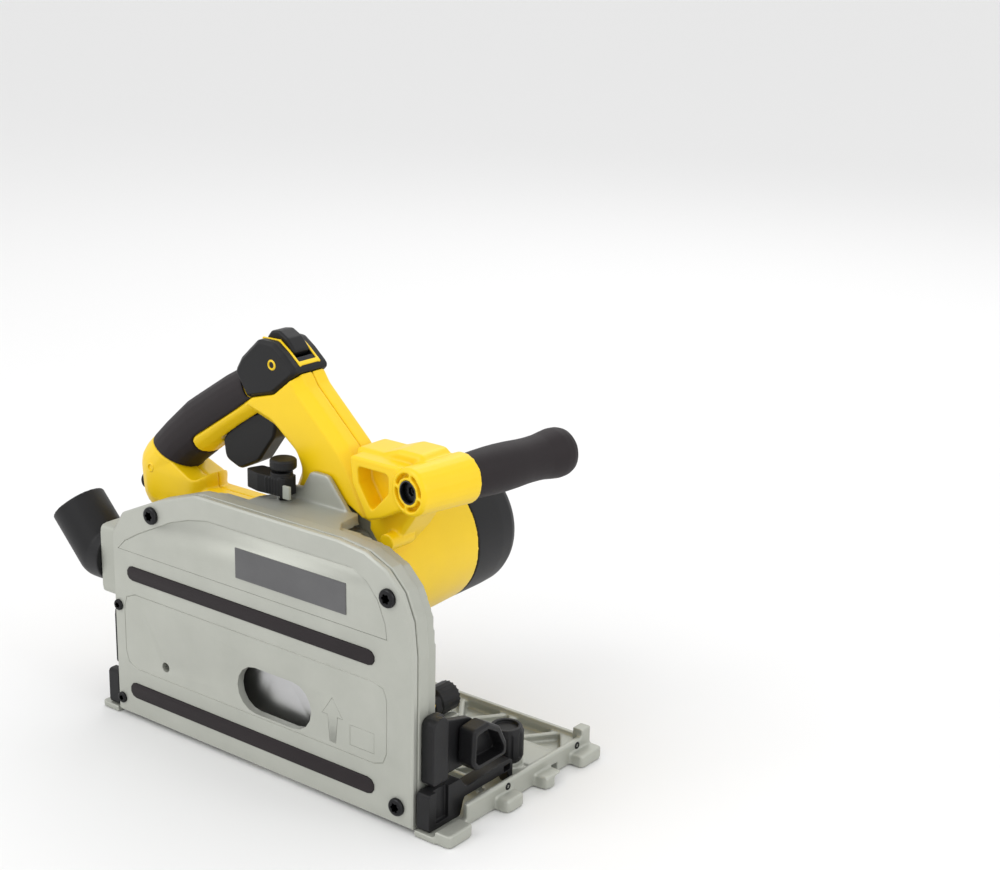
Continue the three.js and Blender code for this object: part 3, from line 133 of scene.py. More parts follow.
def new_group(name, inputs, outputs):
    """A shader node group with those sockets; gives it with its input and its output node."""
    group = bpy.data.node_groups.new(name, "ShaderNodeTree")
    for label, kind, value in inputs:
        socket = group.interface.new_socket(name=label, in_out="INPUT", socket_type=kind)
        socket.default_value = value
    for label, kind in outputs:
        group.interface.new_socket(name=label, in_out="OUTPUT", socket_type=kind)
    return group, group.nodes.new("NodeGroupInput"), group.nodes.new("NodeGroupOutput")


def maths(group, operation):
    """A maths node."""
    node = group.nodes.new("ShaderNodeMath")
    node.operation = operation
    return node


def sized_noise(group, size, detail):
    """Noise on object coordinates with bumps of the size that a socket gives, in metres."""
    place = group.nodes.new("ShaderNodeTexCoord")
    scale = maths(group, "DIVIDE")
    scale.inputs[0].default_value = 1
    noise = group.nodes.new("ShaderNodeTexNoise")
    noise.inputs["Detail"].default_value = detail
    group.links.new(size, scale.inputs[1])
    group.links.new(place.outputs["Object"], noise.inputs["Vector"])
    group.links.new(scale.outputs[0], noise.inputs["Scale"])
    return noise


def moulding_group():
    """Fine grain with slow mottling: gives a height, a shade to mix by, and a roughness."""
    group, source, result = new_group(
        "grain and mottle",
        [("Grain size", "NodeSocketFloat", 0.001), ("Mottle size", "NodeSocketFloat", MOTTLE_SIZE),
         ("Roughness", "NodeSocketFloat", 0.5), ("Roughness swing", "NodeSocketFloat", 0.1)],
        [("Height", "NodeSocketFloat"), ("Shade", "NodeSocketFloat"), ("Roughness", "NodeSocketFloat")])
    link = group.links.new
    grain = sized_noise(group, source.outputs["Grain size"], 3)
    mottle = sized_noise(group, source.outputs["Mottle size"], 5)
    mottle.inputs["Roughness"].default_value = 0.6
    swing = maths(group, "MULTIPLY_ADD")
    centred = maths(group, "SUBTRACT")
    centred.inputs[1].default_value = 0.5
    link(mottle.outputs["Fac"], centred.inputs[0])
    link(centred.outputs[0], swing.inputs[0])
    link(source.outputs["Roughness swing"], swing.inputs[1])
    link(source.outputs["Roughness"], swing.inputs[2])
    link(grain.outputs["Fac"], result.inputs["Height"])
    link(mottle.outputs["Fac"], result.inputs["Shade"])
    link(swing.outputs[0], result.inputs["Roughness"])
    return group


GRAIN_AND_MOTTLE = moulding_group()


def pointiness_between(group, none, full):
    """A node that goes from none to full as the pointiness goes from the first value to the second."""
    shape = group.nodes.new("ShaderNodeNewGeometry")
    spread = group.nodes.new("ShaderNodeMapRange")
    spread.inputs["From Min"].default_value = none
    spread.inputs["From Max"].default_value = full
    group.links.new(shape.outputs["Pointiness"], spread.inputs["Value"])
    return spread


def rubbed_and_shaded_group():
    """Two masks: outside edges rubbed by handling, broken up by noise, and painted shade in the inside
    corners.
    """
    group, source, result = new_group(
        "rubbed edges and painted shade",
        [("Amount", "NodeSocketFloat", 0.5), ("Break up", "NodeSocketFloat", 0.006)],
        [("Mask", "NodeSocketFloat"), ("Painted shade", "NodeSocketFloat")])
    link = group.links.new
    edge = pointiness_between(group, *EDGE_RANGE)
    noise = sized_noise(group, source.outputs["Break up"], 4)
    both = maths(group, "MULTIPLY")
    link(edge.outputs["Result"], both.inputs[0])
    link(noise.outputs["Fac"], both.inputs[1])
    amount = maths(group, "MULTIPLY")
    amount.use_clamp = True
    link(both.outputs[0], amount.inputs[0])
    link(source.outputs["Amount"], amount.inputs[1])
    link(amount.outputs[0], result.inputs["Mask"])
    # Painted shade: a mask that grows in inside corners, where the pointiness drops.
    corner = pointiness_between(group, *CORNER_SHADE_RANGE)
    corner.inputs["To Max"].default_value = PAINTED_CORNER_SHADE
    link(corner.outputs["Result"], result.inputs["Painted shade"])
    return group


RUBBED_EDGES_AND_SHADE = rubbed_and_shaded_group()


def colour_over(tree, colour):
    """A node that lays this colour over its input A, as strongly as its factor says."""
    node = tree.nodes.new("ShaderNodeMix")
    node.data_type = "RGBA"
    node.inputs["B"].default_value = (*colour, 1)
    node.inputs["Factor"].default_value = 0
    return node


def finish_of(name, dark, light, worn, roughness, swing, grain, depth,
              metallic=0.0, wear=0.5, specular=0.5):
    """A material whose colour wanders from dark to light, with worn edges and painted shade in its
    inside corners.
    """
    material = bpy.data.materials.new(name)
    material.use_nodes = True
    tree = material.node_tree
    link = tree.links.new
    shader = tree.nodes["Principled BSDF"]
    surface = tree.nodes.new("ShaderNodeGroup")
    surface.node_tree = GRAIN_AND_MOTTLE
    surface.inputs["Grain size"].default_value = grain
    surface.inputs["Mottle size"].default_value = MOTTLE_SIZE
    surface.inputs["Roughness"].default_value = roughness
    surface.inputs["Roughness swing"].default_value = swing
    edges = tree.nodes.new("ShaderNodeGroup")
    edges.node_tree = RUBBED_EDGES_AND_SHADE
    edges.inputs["Amount"].default_value = wear
    body_mix = colour_over(tree, light)
    body_mix.inputs["A"].default_value = (*dark, 1)
    link(surface.outputs["Shade"], body_mix.inputs["Factor"])
    worn_mix = colour_over(tree, worn)
    link(body_mix.outputs["Result"], worn_mix.inputs["A"])
    # Painted shade: inside corners are darkened towards a quarter of the dark colour, only in finishes
    # that have wear.
    painted_shade_mix = colour_over(tree, [PAINTED_SHADE_TONE * channel for channel in dark])
    if wear > 0:
        link(edges.outputs["Mask"], worn_mix.inputs["Factor"])
        link(edges.outputs["Painted shade"], painted_shade_mix.inputs["Factor"])
    link(worn_mix.outputs["Result"], painted_shade_mix.inputs["A"])
    link(painted_shade_mix.outputs["Result"], shader.inputs["Base Color"])
    link(surface.outputs["Roughness"], shader.inputs["Roughness"])
    bump = tree.nodes.new("ShaderNodeBump")
    bump.inputs["Distance"].default_value = depth
    bump.inputs["Strength"].default_value = 1
    link(surface.outputs["Height"], bump.inputs["Height"])
    link(bump.outputs["Normal"], shader.inputs["Normal"])
    shader.inputs["Metallic"].default_value = metallic
    shader.inputs["Specular IOR Level"].default_value = specular
    return material


# The cast paint is a little darker than the cover's paint: that darkening is painted shade on the base
# and the other castings.
CAST_PAINT = finish_of(
    "cast paint", (0.37, 0.38, 0.335), (0.47, 0.48, 0.43), (0.66, 0.66, 0.62),
    roughness=0.44, swing=0.14, grain=0.0007, depth=0.00013, metallic=0.4, wear=0.8)
BARE_STEEL = finish_of(
    "bare steel", (0.42, 0.42, 0.43), (0.58, 0.58, 0.58), (0.8, 0.8, 0.8),
    roughness=0.32, swing=0.16, grain=0.0006, depth=0.00003, metallic=1.0)
YELLOW_NYLON = finish_of(
    "yellow nylon", (0.88, 0.58, 0.001), (0.97, 0.66, 0.004), (1.0, 0.78, 0.12),
    roughness=0.38, swing=0.1, grain=0.0005, depth=0.00004, wear=0.3, specular=0.45)
BLACK_NYLON = finish_of(
    "black nylon", (0.006, 0.006, 0.007), (0.014, 0.014, 0.015), (0.09, 0.09, 0.09),
    roughness=0.46, swing=0.16, grain=0.0006, depth=0.00007, wear=0.45, specular=0.28)
SOFT_RUBBER = finish_of(
    "soft rubber", (0.009, 0.006, 0.007), (0.02, 0.014, 0.016), (0.05, 0.042, 0.042),
    roughness=0.58, swing=0.12, grain=0.0005, depth=0.0001, wear=0.3, specular=0.3)
MOTOR_IRON = finish_of(
    "motor iron", (0.10, 0.08, 0.07), (0.2, 0.15, 0.11), (0.4, 0.3, 0.2),
    roughness=0.5, swing=0.2, grain=0.001, depth=0.0001, metallic=0.6)
COPPER = finish_of(
    "copper", (0.55, 0.25, 0.12), (0.75, 0.4, 0.22), (0.9, 0.6, 0.4),
    roughness=0.35, swing=0.15, grain=0.0006, depth=0.00004, metallic=1.0)

FINISH_OF_SLOT = {
    "cast_alloy": CAST_PAINT,
    "steel": BARE_STEEL,
    "yellow_plastic": YELLOW_NYLON,
    "black_plastic": BLACK_NYLON,
    "soft_rubber": SOFT_RUBBER,
    "motor_iron": MOTOR_IRON,
    "copper": COPPER,
}
SLOT_OF_NODE = {part["node"]: part["material_slot"] for part in frame["record"]["subparts"]}

for node_name, node in frame["nodes"].items():
    node.data.materials.clear()
    node.data.materials.append(FINISH_OF_SLOT[SLOT_OF_NODE[node_name]])

BODY_OF_NODE = {
    node_name: body_name
    for body_name, members in frame["record"]["behaviour"]["bodies"].items()
    for node_name in members
}

# ---- Guard cover ------------------------------------------------------------
# A flat alloy pressing, bead-blasted and painted, with softened edges. Two
# panels are outlined on it by fine engraved lines, with an arrow for the
# blade's turn.

# The lighter copy of the cast paint, without wear; the cast paint's darker tone is painted shade.
COVER_PAINT = finish_of(
    "cover paint", (0.40, 0.41, 0.365), (0.50, 0.51, 0.46), (0.66, 0.66, 0.62),
    roughness=0.42, swing=0.16, grain=0.0006, depth=0.00010, metallic=0.4, wear=0)
COVER_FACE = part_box("guard_cover")[0].y
ENGRAVED_WIDTH = 0.0009
FINE_ENGRAVED_WIDTH = ENGRAVED_WIDTH * 0.7
SEAM_GAP = 0.00001
FLAT_ANGLE = radians(0.5)
PANEL_ABOVE = [
    (-0.1255, 0.1258), (0.1206, 0.1258), (0.119, 0.136), (0.113, 0.150), (0.104, 0.160),
    (0.092, 0.166), (-0.036, 0.166), (-0.054, 0.1625), (-0.072, 0.1565), (-0.104, 0.141),
    (-0.118, 0.133),
]
PANEL_BELOW = [
    (-0.110, 0.0394), (0.110, 0.0394), (0.1175, 0.042), (0.1204, 0.049), (0.1204, 0.0855),
    (0.1175, 0.0925), (0.110, 0.095), (-0.110, 0.095), (-0.1185, 0.0915), (-0.121, 0.083),
    (-0.121, 0.051), (-0.1185, 0.043),
]
LABEL_FRAME = [(0.0897, 0.0457), (0.110, 0.0457), (0.110, 0.0595), (0.0897, 0.0595)]
TURN_ARROW = [
    (0.0722, 0.0426), (0.0775, 0.0426), (0.0790, 0.0610), (0.0835, 0.0610), (0.0745, 0.0735),
    (0.0658, 0.0610), (0.0705, 0.0610),
]


def only(piece):
    """Selects this one piece and makes it active."""
    bpy.ops.object.select_all(action="DESELECT")
    piece.select_set(True)
    bpy.context.view_layer.objects.active = piece


def merged_copy(node_name, name):
    """A copy of a CAD node with its loose triangles joined up, ready to be worked on."""
    copy = bpy.data.objects.new(name, frame["nodes"][node_name].data.copy())
    bpy.context.scene.collection.objects.link(copy)
    only(copy)
    bpy.ops.object.mode_set(mode="EDIT")
    bpy.ops.mesh.select_all(action="SELECT")
    bpy.ops.mesh.remove_doubles(threshold=SEAM_GAP)
    bpy.ops.object.mode_set(mode="OBJECT")
    return copy


def pressed_copy(node_name, name):
    """The same, with the triangles of each flat face run together, so that its edges bevel cleanly."""
    copy = merged_copy(node_name, name)
    bpy.ops.object.mode_set(mode="EDIT")
    bpy.ops.mesh.select_all(action="SELECT")
    bpy.ops.mesh.dissolve_limited(angle_limit=FLAT_ANGLE)
    bpy.ops.object.mode_set(mode="OBJECT")
    return copy


def modified(piece, kind, **settings):
    """Adds a modifier, sets it up and applies it."""
    only(piece)
    bpy.ops.object.modifier_add(type=kind)
    modifier = piece.modifiers[-1]
    for setting, value in settings.items():
        setattr(modifier, setting, value)
    bpy.ops.object.modifier_apply(modifier=modifier.name)
    return piece


def bevelled(piece, width, segments, degrees):
    """Rounds the corners that are sharper than this."""
    return modified(piece, "BEVEL", width=width, segments=segments,
                    limit_method="ANGLE", angle_limit=radians(degrees))


def smoothed(piece, degrees):
    """Shades the piece smooth, but for corners sharper than this."""
    only(piece)
    bpy.ops.object.shade_smooth_by_angle(angle=radians(degrees))
    return piece


def cut_by(piece, *tools):
    """Takes the tools' shapes out of the piece, and the tools away."""
    for tool in tools:
        modified(piece, "BOOLEAN", object=tool, operation="DIFFERENCE", solver="EXACT")
        bpy.data.objects.remove(tool)
    return piece


def placed(piece):
    """Puts the piece's place and turn into its mesh."""
    only(piece)
    bpy.ops.object.transform_apply(location=True, rotation=True, scale=True)
    return piece


def settled(piece, body, finish, slot, *stands_for):
    """Gives the finished piece its material, its body and the CAD nodes that it stands for."""
    piece.data.materials.clear()
    piece.data.materials.append(finish)
    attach(piece, body)
    if stands_for:
        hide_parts(*stands_for)
    return piece


def engraving(points, width):
    """A fine rod along a closed line on the cover's face, to cut a groove with."""
    line = bpy.data.curves.new("engraving", "CURVE")
    line.dimensions = "3D"
    line.bevel_depth = width / 2
    line.bevel_resolution = 1
    spline = line.splines.new("POLY")
    spline.points.add(len(points) - 1)
    for point, (x, z) in zip(spline.points, points):
        point.co = (x, COVER_FACE, z, 1)
    spline.use_cyclic_u = True
    rod = bpy.data.objects.new("engraving", line)
    bpy.context.scene.collection.objects.link(rod)
    only(rod)
    bpy.ops.object.convert(target="MESH")
    return bpy.context.object


cover = pressed_copy("guard_cover", "cover_pressing")
bevelled(cover, 0.0011, 3, 40)
cut_by(cover, engraving(PANEL_ABOVE, ENGRAVED_WIDTH), engraving(PANEL_BELOW, ENGRAVED_WIDTH),
       engraving(LABEL_FRAME, FINE_ENGRAVED_WIDTH), engraving(TURN_ARROW, FINE_ENGRAVED_WIDTH))
smoothed(cover, 30)
settled(cover, "guard", COVER_PAINT, "cast_alloy", "guard_cover")

# ---- Cover screws -----------------------------------------------------------
# Five blackened pan-head screws, each at its x and z with its head's radius.
# They have a six-lobed socket and are sunk a little into the cover. A screw's
# other sizes are shares of its head's radius.

SCREW_SPOTS = [
    ("cover_screw_top_rear", -0.090, 0.1575, 0.0062),
    ("cover_screw_top_front", 0.1214, 0.1538, 0.0062),
    ("cover_screw_low_front", 0.1292, 0.0156, 0.0060),
    ("cover_screw_mid_rear", -0.1268, 0.0835, 0.0040),
    ("cover_screw_low_rear", -0.1268, 0.0132, 0.0040),
]
HEAD_DEPTH = 0.7
HEAD_ROUNDING = 0.28
HEAD_SINK = 0.1
SOCKET_SIZE = 0.5
SOCKET_RISE = 0.4
LOBES = 6
LOBE_SIZE = 0.16
BLACK_OXIDE = finish_of(
    "black oxide", (0.010, 0.010, 0.011), (0.03, 0.03, 0.032), (0.3, 0.3, 0.3),
    roughness=0.3, swing=0.15, grain=0.0005, depth=0.00003, metallic=0.85, wear=0.6)


def star_screw(name, radius):
    """A pan-head screw at the world's middle with its head towards -Y."""
    bpy.ops.mesh.primitive_cylinder_add(vertices=48, radius=radius, depth=radius * HEAD_DEPTH)
    head = bpy.context.object
    head.name = name
    bevelled(head, radius * HEAD_ROUNDING, 4, 40)
    bpy.ops.mesh.primitive_cylinder_add(
        vertices=24, radius=radius * SOCKET_SIZE, depth=radius, location=(0, 0, radius * SOCKET_RISE))
    socket = bpy.context.object
    for vertex in socket.data.vertices:
        turn = atan2(vertex.co.y, vertex.co.x)
        spread = 1 + LOBE_SIZE * cos(LOBES * turn)
        vertex.co.x *= spread
        vertex.co.y *= spread
    cut_by(head, socket)
    head.rotation_euler = (radians(90), 0, 0)
    placed(head)
    return smoothed(head, 35)


for screw_name, x, z, radius in SCREW_SPOTS:
    screw = star_screw(screw_name, radius)
    screw.location = (x, COVER_FACE - radius * HEAD_SINK, z)
    placed(screw)
    settled(screw, "guard", BLACK_OXIDE, "steel")

# ---- Blank nameplate --------------------------------------------------------
# A thin anodised plate stuck on the cover, left blank. Its rim stands a little
# higher than its field.

PLATE_X = (-0.010, 0.087)
PLATE_Z = (0.1335, 0.1545)
PLATE_PROUD = 0.0007
PLATE_THICK = 0.0016
PLATE_RIM = 0.0014
PLATE_FIELD_DEPTH = 0.0003
DARK_ANODISED = finish_of(
    "dark anodised", (0.10, 0.10, 0.103), (0.16, 0.16, 0.163), (0.45, 0.45, 0.45),
    roughness=0.36, swing=0.12, grain=0.0004, depth=0.00003, metallic=0.7, wear=0.4)


def block(name, size, place):
    """A plain box with its middle at place."""
    bpy.ops.mesh.primitive_cube_add(size=1)
    box = bpy.context.object
    box.name = name
    box.scale = size
    box.location = place
    return placed(box)


nameplate = block(
    "blank_nameplate", (PLATE_X[1] - PLATE_X[0], PLATE_THICK, PLATE_Z[1] - PLATE_Z[0]),
    (sum(PLATE_X) / 2, COVER_FACE + PLATE_THICK / 2 - PLATE_PROUD, sum(PLATE_Z) / 2))
bpy.ops.object.mode_set(mode="EDIT")
bpy.ops.mesh.select_all(action="DESELECT")
bpy.ops.object.mode_set(mode="OBJECT")
for face in nameplate.data.polygons:
    face.select = face.normal.y < -0.9
bpy.ops.object.mode_set(mode="EDIT")
bpy.ops.mesh.inset(thickness=PLATE_RIM)
bpy.ops.transform.translate(value=(0, PLATE_FIELD_DEPTH, 0))
bpy.ops.object.mode_set(mode="OBJECT")
bevelled(nameplate, 0.0002, 2, 30)
smoothed(nameplate, 35)
settled(nameplate, "guard", DARK_ANODISED, "steel")

# ---- Castings and mouldings from the CAD solids -----------------------------
# Castings and nylon mouldings have no sharp corner anywhere, so each one is its
# CAD solid with every edge rounded over and its facets run together. The three
# numbers of each are the grid's size, the smoothing passes and the share of the
# faces that is kept.

TURN_STEPS = 96
SPIN_GAP = 0.000005


def fused(first, *others, voxel=0.0003, passes=2, keep=0.5):
    """Overlapping bodies made into one, its corners rounded over as a mould leaves them."""
    only(first)
    for other in others:
        other.select_set(True)
    if others:
        bpy.ops.object.join()
    modified(first, "REMESH", mode="VOXEL", voxel_size=voxel)
    modified(first, "SMOOTH", factor=0.5, iterations=passes)
    modified(first, "DECIMATE", decimate_type="COLLAPSE", ratio=keep)
    bpy.ops.object.shade_smooth()
    return first


def moulded(node_name, voxel, passes, keep, *additions):
    """A CAD solid with any additions grown into it, as a mould leaves it."""
    copy = merged_copy(node_name, node_name + "_skin")
    return fused(copy, *additions, voxel=voxel, passes=passes, keep=keep)


def moulding(node_name, voxel, passes, keep, *additions):
    """The same, finished and settled in place of its node."""
    piece = moulded(node_name, voxel, passes, keep, *additions)
    slot_name = SLOT_OF_NODE[node_name]
    return settled(piece, BODY_OF_NODE[node_name], FINISH_OF_SLOT[slot_name], slot_name, node_name)


def turned_ring(profile, place, axis, name="ring"):
    """A round piece: its closed (radius, height) profile spun about an axis through place."""
    along = Vector(axis).normalized()
    out = Vector((1, 0, 0)) if abs(along.x) < 0.9 else Vector((0, 0, 1))
    out = (out - along * out.dot(along)).normalized()
    shell = bpy.data.meshes.new(name)
    points = [Vector(place) + out * radius + along * height for radius, height in profile]
    edges = [(i, (i + 1) % len(points)) for i in range(len(points))]
    shell.from_pydata(points, edges, [])
    piece = bpy.data.objects.new(name, shell)
    bpy.context.scene.collection.objects.link(piece)
    only(piece)
    bpy.ops.object.mode_set(mode="EDIT")
    bpy.ops.mesh.select_all(action="SELECT")
    bpy.ops.mesh.spin(steps=TURN_STEPS, angle=2 * pi, center=place, axis=along)
    bpy.ops.mesh.select_all(action="SELECT")
    bpy.ops.mesh.remove_doubles(threshold=SPIN_GAP)
    bpy.ops.mesh.normals_make_consistent(inside=False)
    bpy.ops.object.mode_set(mode="OBJECT")
    return piece


for node_name in ("rub_strip_upper", "rub_strip_lower"):
    strip = pressed_copy(node_name, node_name + "_moulding")
    bevelled(strip, 0.0006, 3, 50)
    smoothed(strip, 30)
    settled(strip, "guard", SOFT_RUBBER, "soft_rubber", node_name)

moulding("guard_body", 0.0010, 2, 0.35)
moulding("base_plate", 0.0009, 2, 0.35)
moulding("gear_case", 0.0010, 3, 0.5)
moulding("gear_cover", 0.0010, 2, 0.5)
moulding("dust_box", 0.0006, 3, 0.5)
for end in ("front", "rear"):
    moulding("bevel_bracket_" + end, 0.0005, 3, 0.4)
    moulding("bevel_quadrant_" + end, 0.0005, 3, 0.4)
    moulding("bevel_knob_" + end, 0.0005, 3, 0.4)
for node_name in ("depth_knob", "trigger", "lock_off_button", "nose_cap"):
    moulding(node_name, 0.0005, 3, 0.3)
for node_name in ("upper_link", "lower_link", "riving_knife"):
    moulding(node_name, 0.0005, 1, 0.4)

# ---- Depth stop -------------------------------------------------------------
# A black nylon slider with finger ribs down its near face, held by a knob on
# its rod. A grey-green pointer at its foot reads against the depth scale.

SLIDER_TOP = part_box("depth_slider")[1].z
BLOCK_FOOT = SLIDER_TOP - 0.0140
RIB_TOP = SLIDER_TOP - 0.0036
FIRST_RIB = (-0.0108, -0.0554)
RIB_STEP = (0.0025, 0.00025)
RIB_RADIUS = 0.0007
DEPTH_POINTER_SIZE = (0.0060, 0.0022, 0.0090)
DEPTH_POINTER_PLACE = (0.0062, -0.0535, BLOCK_FOOT + 0.0028)


def upright_rib(x, y, z0, z1, radius):
    """A fine round rib that stands from z0 to z1."""
    bpy.ops.mesh.primitive_cylinder_add(
        vertices=12, radius=radius, depth=z1 - z0, location=(x, y, (z0 + z1) / 2))
    return placed(bpy.context.object)


grip_ribs = [
    upright_rib(FIRST_RIB[0] + RIB_STEP[0] * i, FIRST_RIB[1] + RIB_STEP[1] * i,
                BLOCK_FOOT, RIB_TOP, RIB_RADIUS)
    for i in range(5)
]
moulding("depth_slider", 0.0004, 1, 0.4, *grip_ribs)

SCALE_GREEN = finish_of(
    "grey-green nylon", (0.30, 0.32, 0.28), (0.38, 0.40, 0.35), (0.5, 0.52, 0.47),
    roughness=0.5, swing=0.1, grain=0.0006, depth=0.00005, wear=0.3)
scale_pointer = block("depth_pointer", DEPTH_POINTER_SIZE, DEPTH_POINTER_PLACE)
modified(scale_pointer, "BEVEL", width=0.0005, segments=3)
smoothed(scale_pointer, 35)
settled(scale_pointer, "depth_stop", SCALE_GREEN, "black_plastic")

# ---- D-handle ---------------------------------------------------------------
# Two yellow nylon halves that meet on the handle's middle plane, with a dark
# rubber sleeve moulded over the grip. A boss round the tail's screw stands
# proud of the near half.

HANDLE_FACE = -0.0345
TAIL_BOSS_SPOT = (-0.1463, 0.1673)
TAIL_BOSS_PROUD = 0.0002
TAIL_BOSS_RADIUS = 0.0034
BOSS_WALL = 0.42
BOSS_DEPTH = 0.003
BOSS_CHAMFER = 0.0006
BOSS_INNER_CHAMFER = 0.0004

for node_name in ("handle_left", "handle_right"):
    moulding(node_name, 0.0008, 14, 0.4)
moulding("grip_overmould", 0.0007, 16, 0.4)


def screw_boss(name, spot, face, radius, finish, slot_name):
    """A round boss with a hole down its middle, standing on a moulding's near face."""
    x, z = spot
    wall = radius * BOSS_WALL
    back = face + BOSS_DEPTH
    top = face - BOSS_CHAMFER
    profile = [
        (radius - wall, back), (radius, back), (radius, face), (radius - BOSS_CHAMFER, top),
        (radius - wall + BOSS_INNER_CHAMFER, top), (radius - wall, face),
    ]
    ring = smoothed(turned_ring(profile, (x, 0, z), (0, 1, 0), name), 40)
    return settled(ring, "saw_body", finish, slot_name)


screw_boss("tail_screw_boss", TAIL_BOSS_SPOT, HANDLE_FACE - TAIL_BOSS_PROUD, TAIL_BOSS_RADIUS,
           YELLOW_NYLON, "yellow_plastic")

# ---- Nose cap ---------------------------------------------------------------
# A black nylon cap over the top of the tower that carries the lock-off button.
# A thin yellow trim runs round the button, and a screw sits in a yellow boss.

NOSE_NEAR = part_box("nose_cap")[0].y
BUTTON_LOW, BUTTON_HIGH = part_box("lock_off_button")
TRIM_WIDTH = 0.0017
TRIM_STEP = 0.0009
TRIM_DEPTH = 0.0012
TRIM_ROOM = 0.0006
NOSE_BOSS_SPOT = (-0.0242, 0.2641)
NOSE_BOSS_RADIUS = 0.0036
CAP_RIDGE = [(-0.0395, 0.2785), (-0.0240, 0.2790), (-0.0150, 0.2728), (-0.0055, 0.2650)]
CROSSBAR = [(-0.0022, 0.0028), (0, TRIM_STEP), (-0.0008, -0.0010), (-0.0030, 0.0009)]


def prism(name, outline, y0, y1):
    """An outline of (x, z) points run from y0 to y1 as a closed body."""
    count = len(outline)
    shell = bpy.data.meshes.new(name)
    points = [(x, y, z) for y in (y0, y1) for x, z in outline]
    sides = [(i, (i + 1) % count, count + (i + 1) % count, count + i) for i in range(count)]
    ends = [tuple(range(count - 1, -1, -1)), tuple(range(count, 2 * count))]
    shell.from_pydata(points, [], ends + sides)
    piece = bpy.data.objects.new(name, shell)
    bpy.context.scene.collection.objects.link(piece)
    only(piece)
    bpy.ops.object.mode_set(mode="EDIT")
    bpy.ops.mesh.select_all(action="SELECT")
    bpy.ops.mesh.normals_make_consistent(inside=False)
    bpy.ops.object.mode_set(mode="OBJECT")
    return piece


strip_outline = [(x, z + TRIM_STEP) for x, z in CAP_RIDGE]
strip_outline += [(x, z - TRIM_DEPTH) for x, z in reversed(CAP_RIDGE)]
near_side = BUTTON_LOW.y - TRIM_ROOM
far_side = BUTTON_HIGH.y + TRIM_ROOM
ridge_x, ridge_z = CAP_RIDGE[-1]
crossbar = [(ridge_x + x, ridge_z + z) for x, z in CROSSBAR]
button_trim = fused(
    prism("button_trim", strip_outline, near_side - TRIM_WIDTH, near_side),
    prism("button_trim_far", strip_outline, far_side, far_side + TRIM_WIDTH),
    prism("button_trim_front", crossbar, near_side - TRIM_WIDTH, far_side + TRIM_WIDTH))
settled(button_trim, "saw_body", YELLOW_NYLON, "yellow_plastic")

screw_boss("nose_screw_boss", NOSE_BOSS_SPOT, NOSE_NEAR, NOSE_BOSS_RADIUS,
           YELLOW_NYLON, "yellow_plastic")

# ---- Motor housing ----------------------------------------------------------
# A round glass-filled nylon shell with the arm for the front handle moulded
# on. It narrows a little towards its black end cap.

MOTOR_AXIS = (0.025, 0, 0.132)
HOUSING_GAP = 0.0003
HOUSING_FRONT_RADIUS = 0.0521
HOUSING_BACK_RADIUS = 0.0486
HOUSING_WALL = 0.003
HOUSING_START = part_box("gear_cover")[1].y + HOUSING_GAP
HOUSING_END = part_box("end_cap")[0].y - HOUSING_GAP

housing_shell = turned_ring(
    [(HOUSING_FRONT_RADIUS - HOUSING_WALL, HOUSING_START), (HOUSING_FRONT_RADIUS, HOUSING_START),
     (HOUSING_BACK_RADIUS, HOUSING_END), (HOUSING_BACK_RADIUS - HOUSING_WALL, HOUSING_END)],
    MOTOR_AXIS, (0, 1, 0))
moulding("motor_housing", 0.0008, 4, 0.35, housing_shell)

# ---- End cap ----------------------------------------------------------------
# A black nylon cap screwed to the housing's end over the brush gear, with the
# air inlets low down and at the back, away from the operator.

CAP_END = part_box("end_cap")[1].y
CAP_RADIUS = HOUSING_BACK_RADIUS
CAP_START = HOUSING_END + 2 * HOUSING_GAP
CAP_FLARE = 0.0001
CAP_ROUNDING = [
    (0.0003, 0.020), (0.0010, 0.0085), (0.0028, 0.0040), (0.0060, 0.0012), (0.0110, 0),
    (0.0110, 0.0028), (0.0060, 0.0050), (0.0042, 0.0090),
]
INLET_TURNS = [75 + 27 * i for i in range(5)]
INLET_SIZE = (0.014, 0.016, 0.006)
INLET_REACH = 0.022

cap_profile = [(CAP_RADIUS - HOUSING_WALL, CAP_START), (CAP_RADIUS + CAP_FLARE, CAP_START)]
cap_profile += [(CAP_RADIUS - inward, CAP_END - reach) for inward, reach in CAP_ROUNDING]
cap_skin = turned_ring(cap_profile, MOTOR_AXIS, (0, 1, 0))
inlets = []
for turn in INLET_TURNS:
    inlet = block("inlet", INLET_SIZE, (CAP_RADIUS, CAP_END - INLET_REACH, 0))
    inlet.rotation_euler = (0, radians(turn), 0)
    inlet.location = (MOTOR_AXIS[0], 0, MOTOR_AXIS[2])
    placed(inlet)
    inlets.append(inlet)
cut_by(cap_skin, *inlets)
moulding("end_cap", 0.0008, 4, 0.4, cap_skin)

# ---- Front handle -----------------------------------------------------------
# A hollow rubber-covered grip on a long bolt that passes through the arm's
# boss. The bolt's blackened head lies in a black steel cup.

BOSS_PLACE = (0.106, -0.050, 0.2086)
BOSS_AXIS = (0.15, 1, 0)
GRIP_START = 0.0483
GRIP_PROFILE = [
    (0.0046, 0), (0.0140, 0), (0.0146, 0.0008), (0.0151, 0.006), (0.0155, 0.012),
    (0.0159, 0.021), (0.0160, 0.030), (0.0157, 0.040), (0.0151, 0.050), (0.0149, 0.058),
    (0.0153, 0.066), (0.0163, 0.073), (0.0170, 0.079), (0.0167, 0.084), (0.0154, 0.0878),
    (0.0128, 0.0903), (0.0090, 0.0912), (0.0046, 0.0914),
]
CUP_PROFILE = [
    (0.0069, 0.0004), (0.0077, 0.0004), (0.0077, 0.0078),
    (0.0045, 0.0078), (0.0045, 0.0072), (0.0069, 0.0072),
]

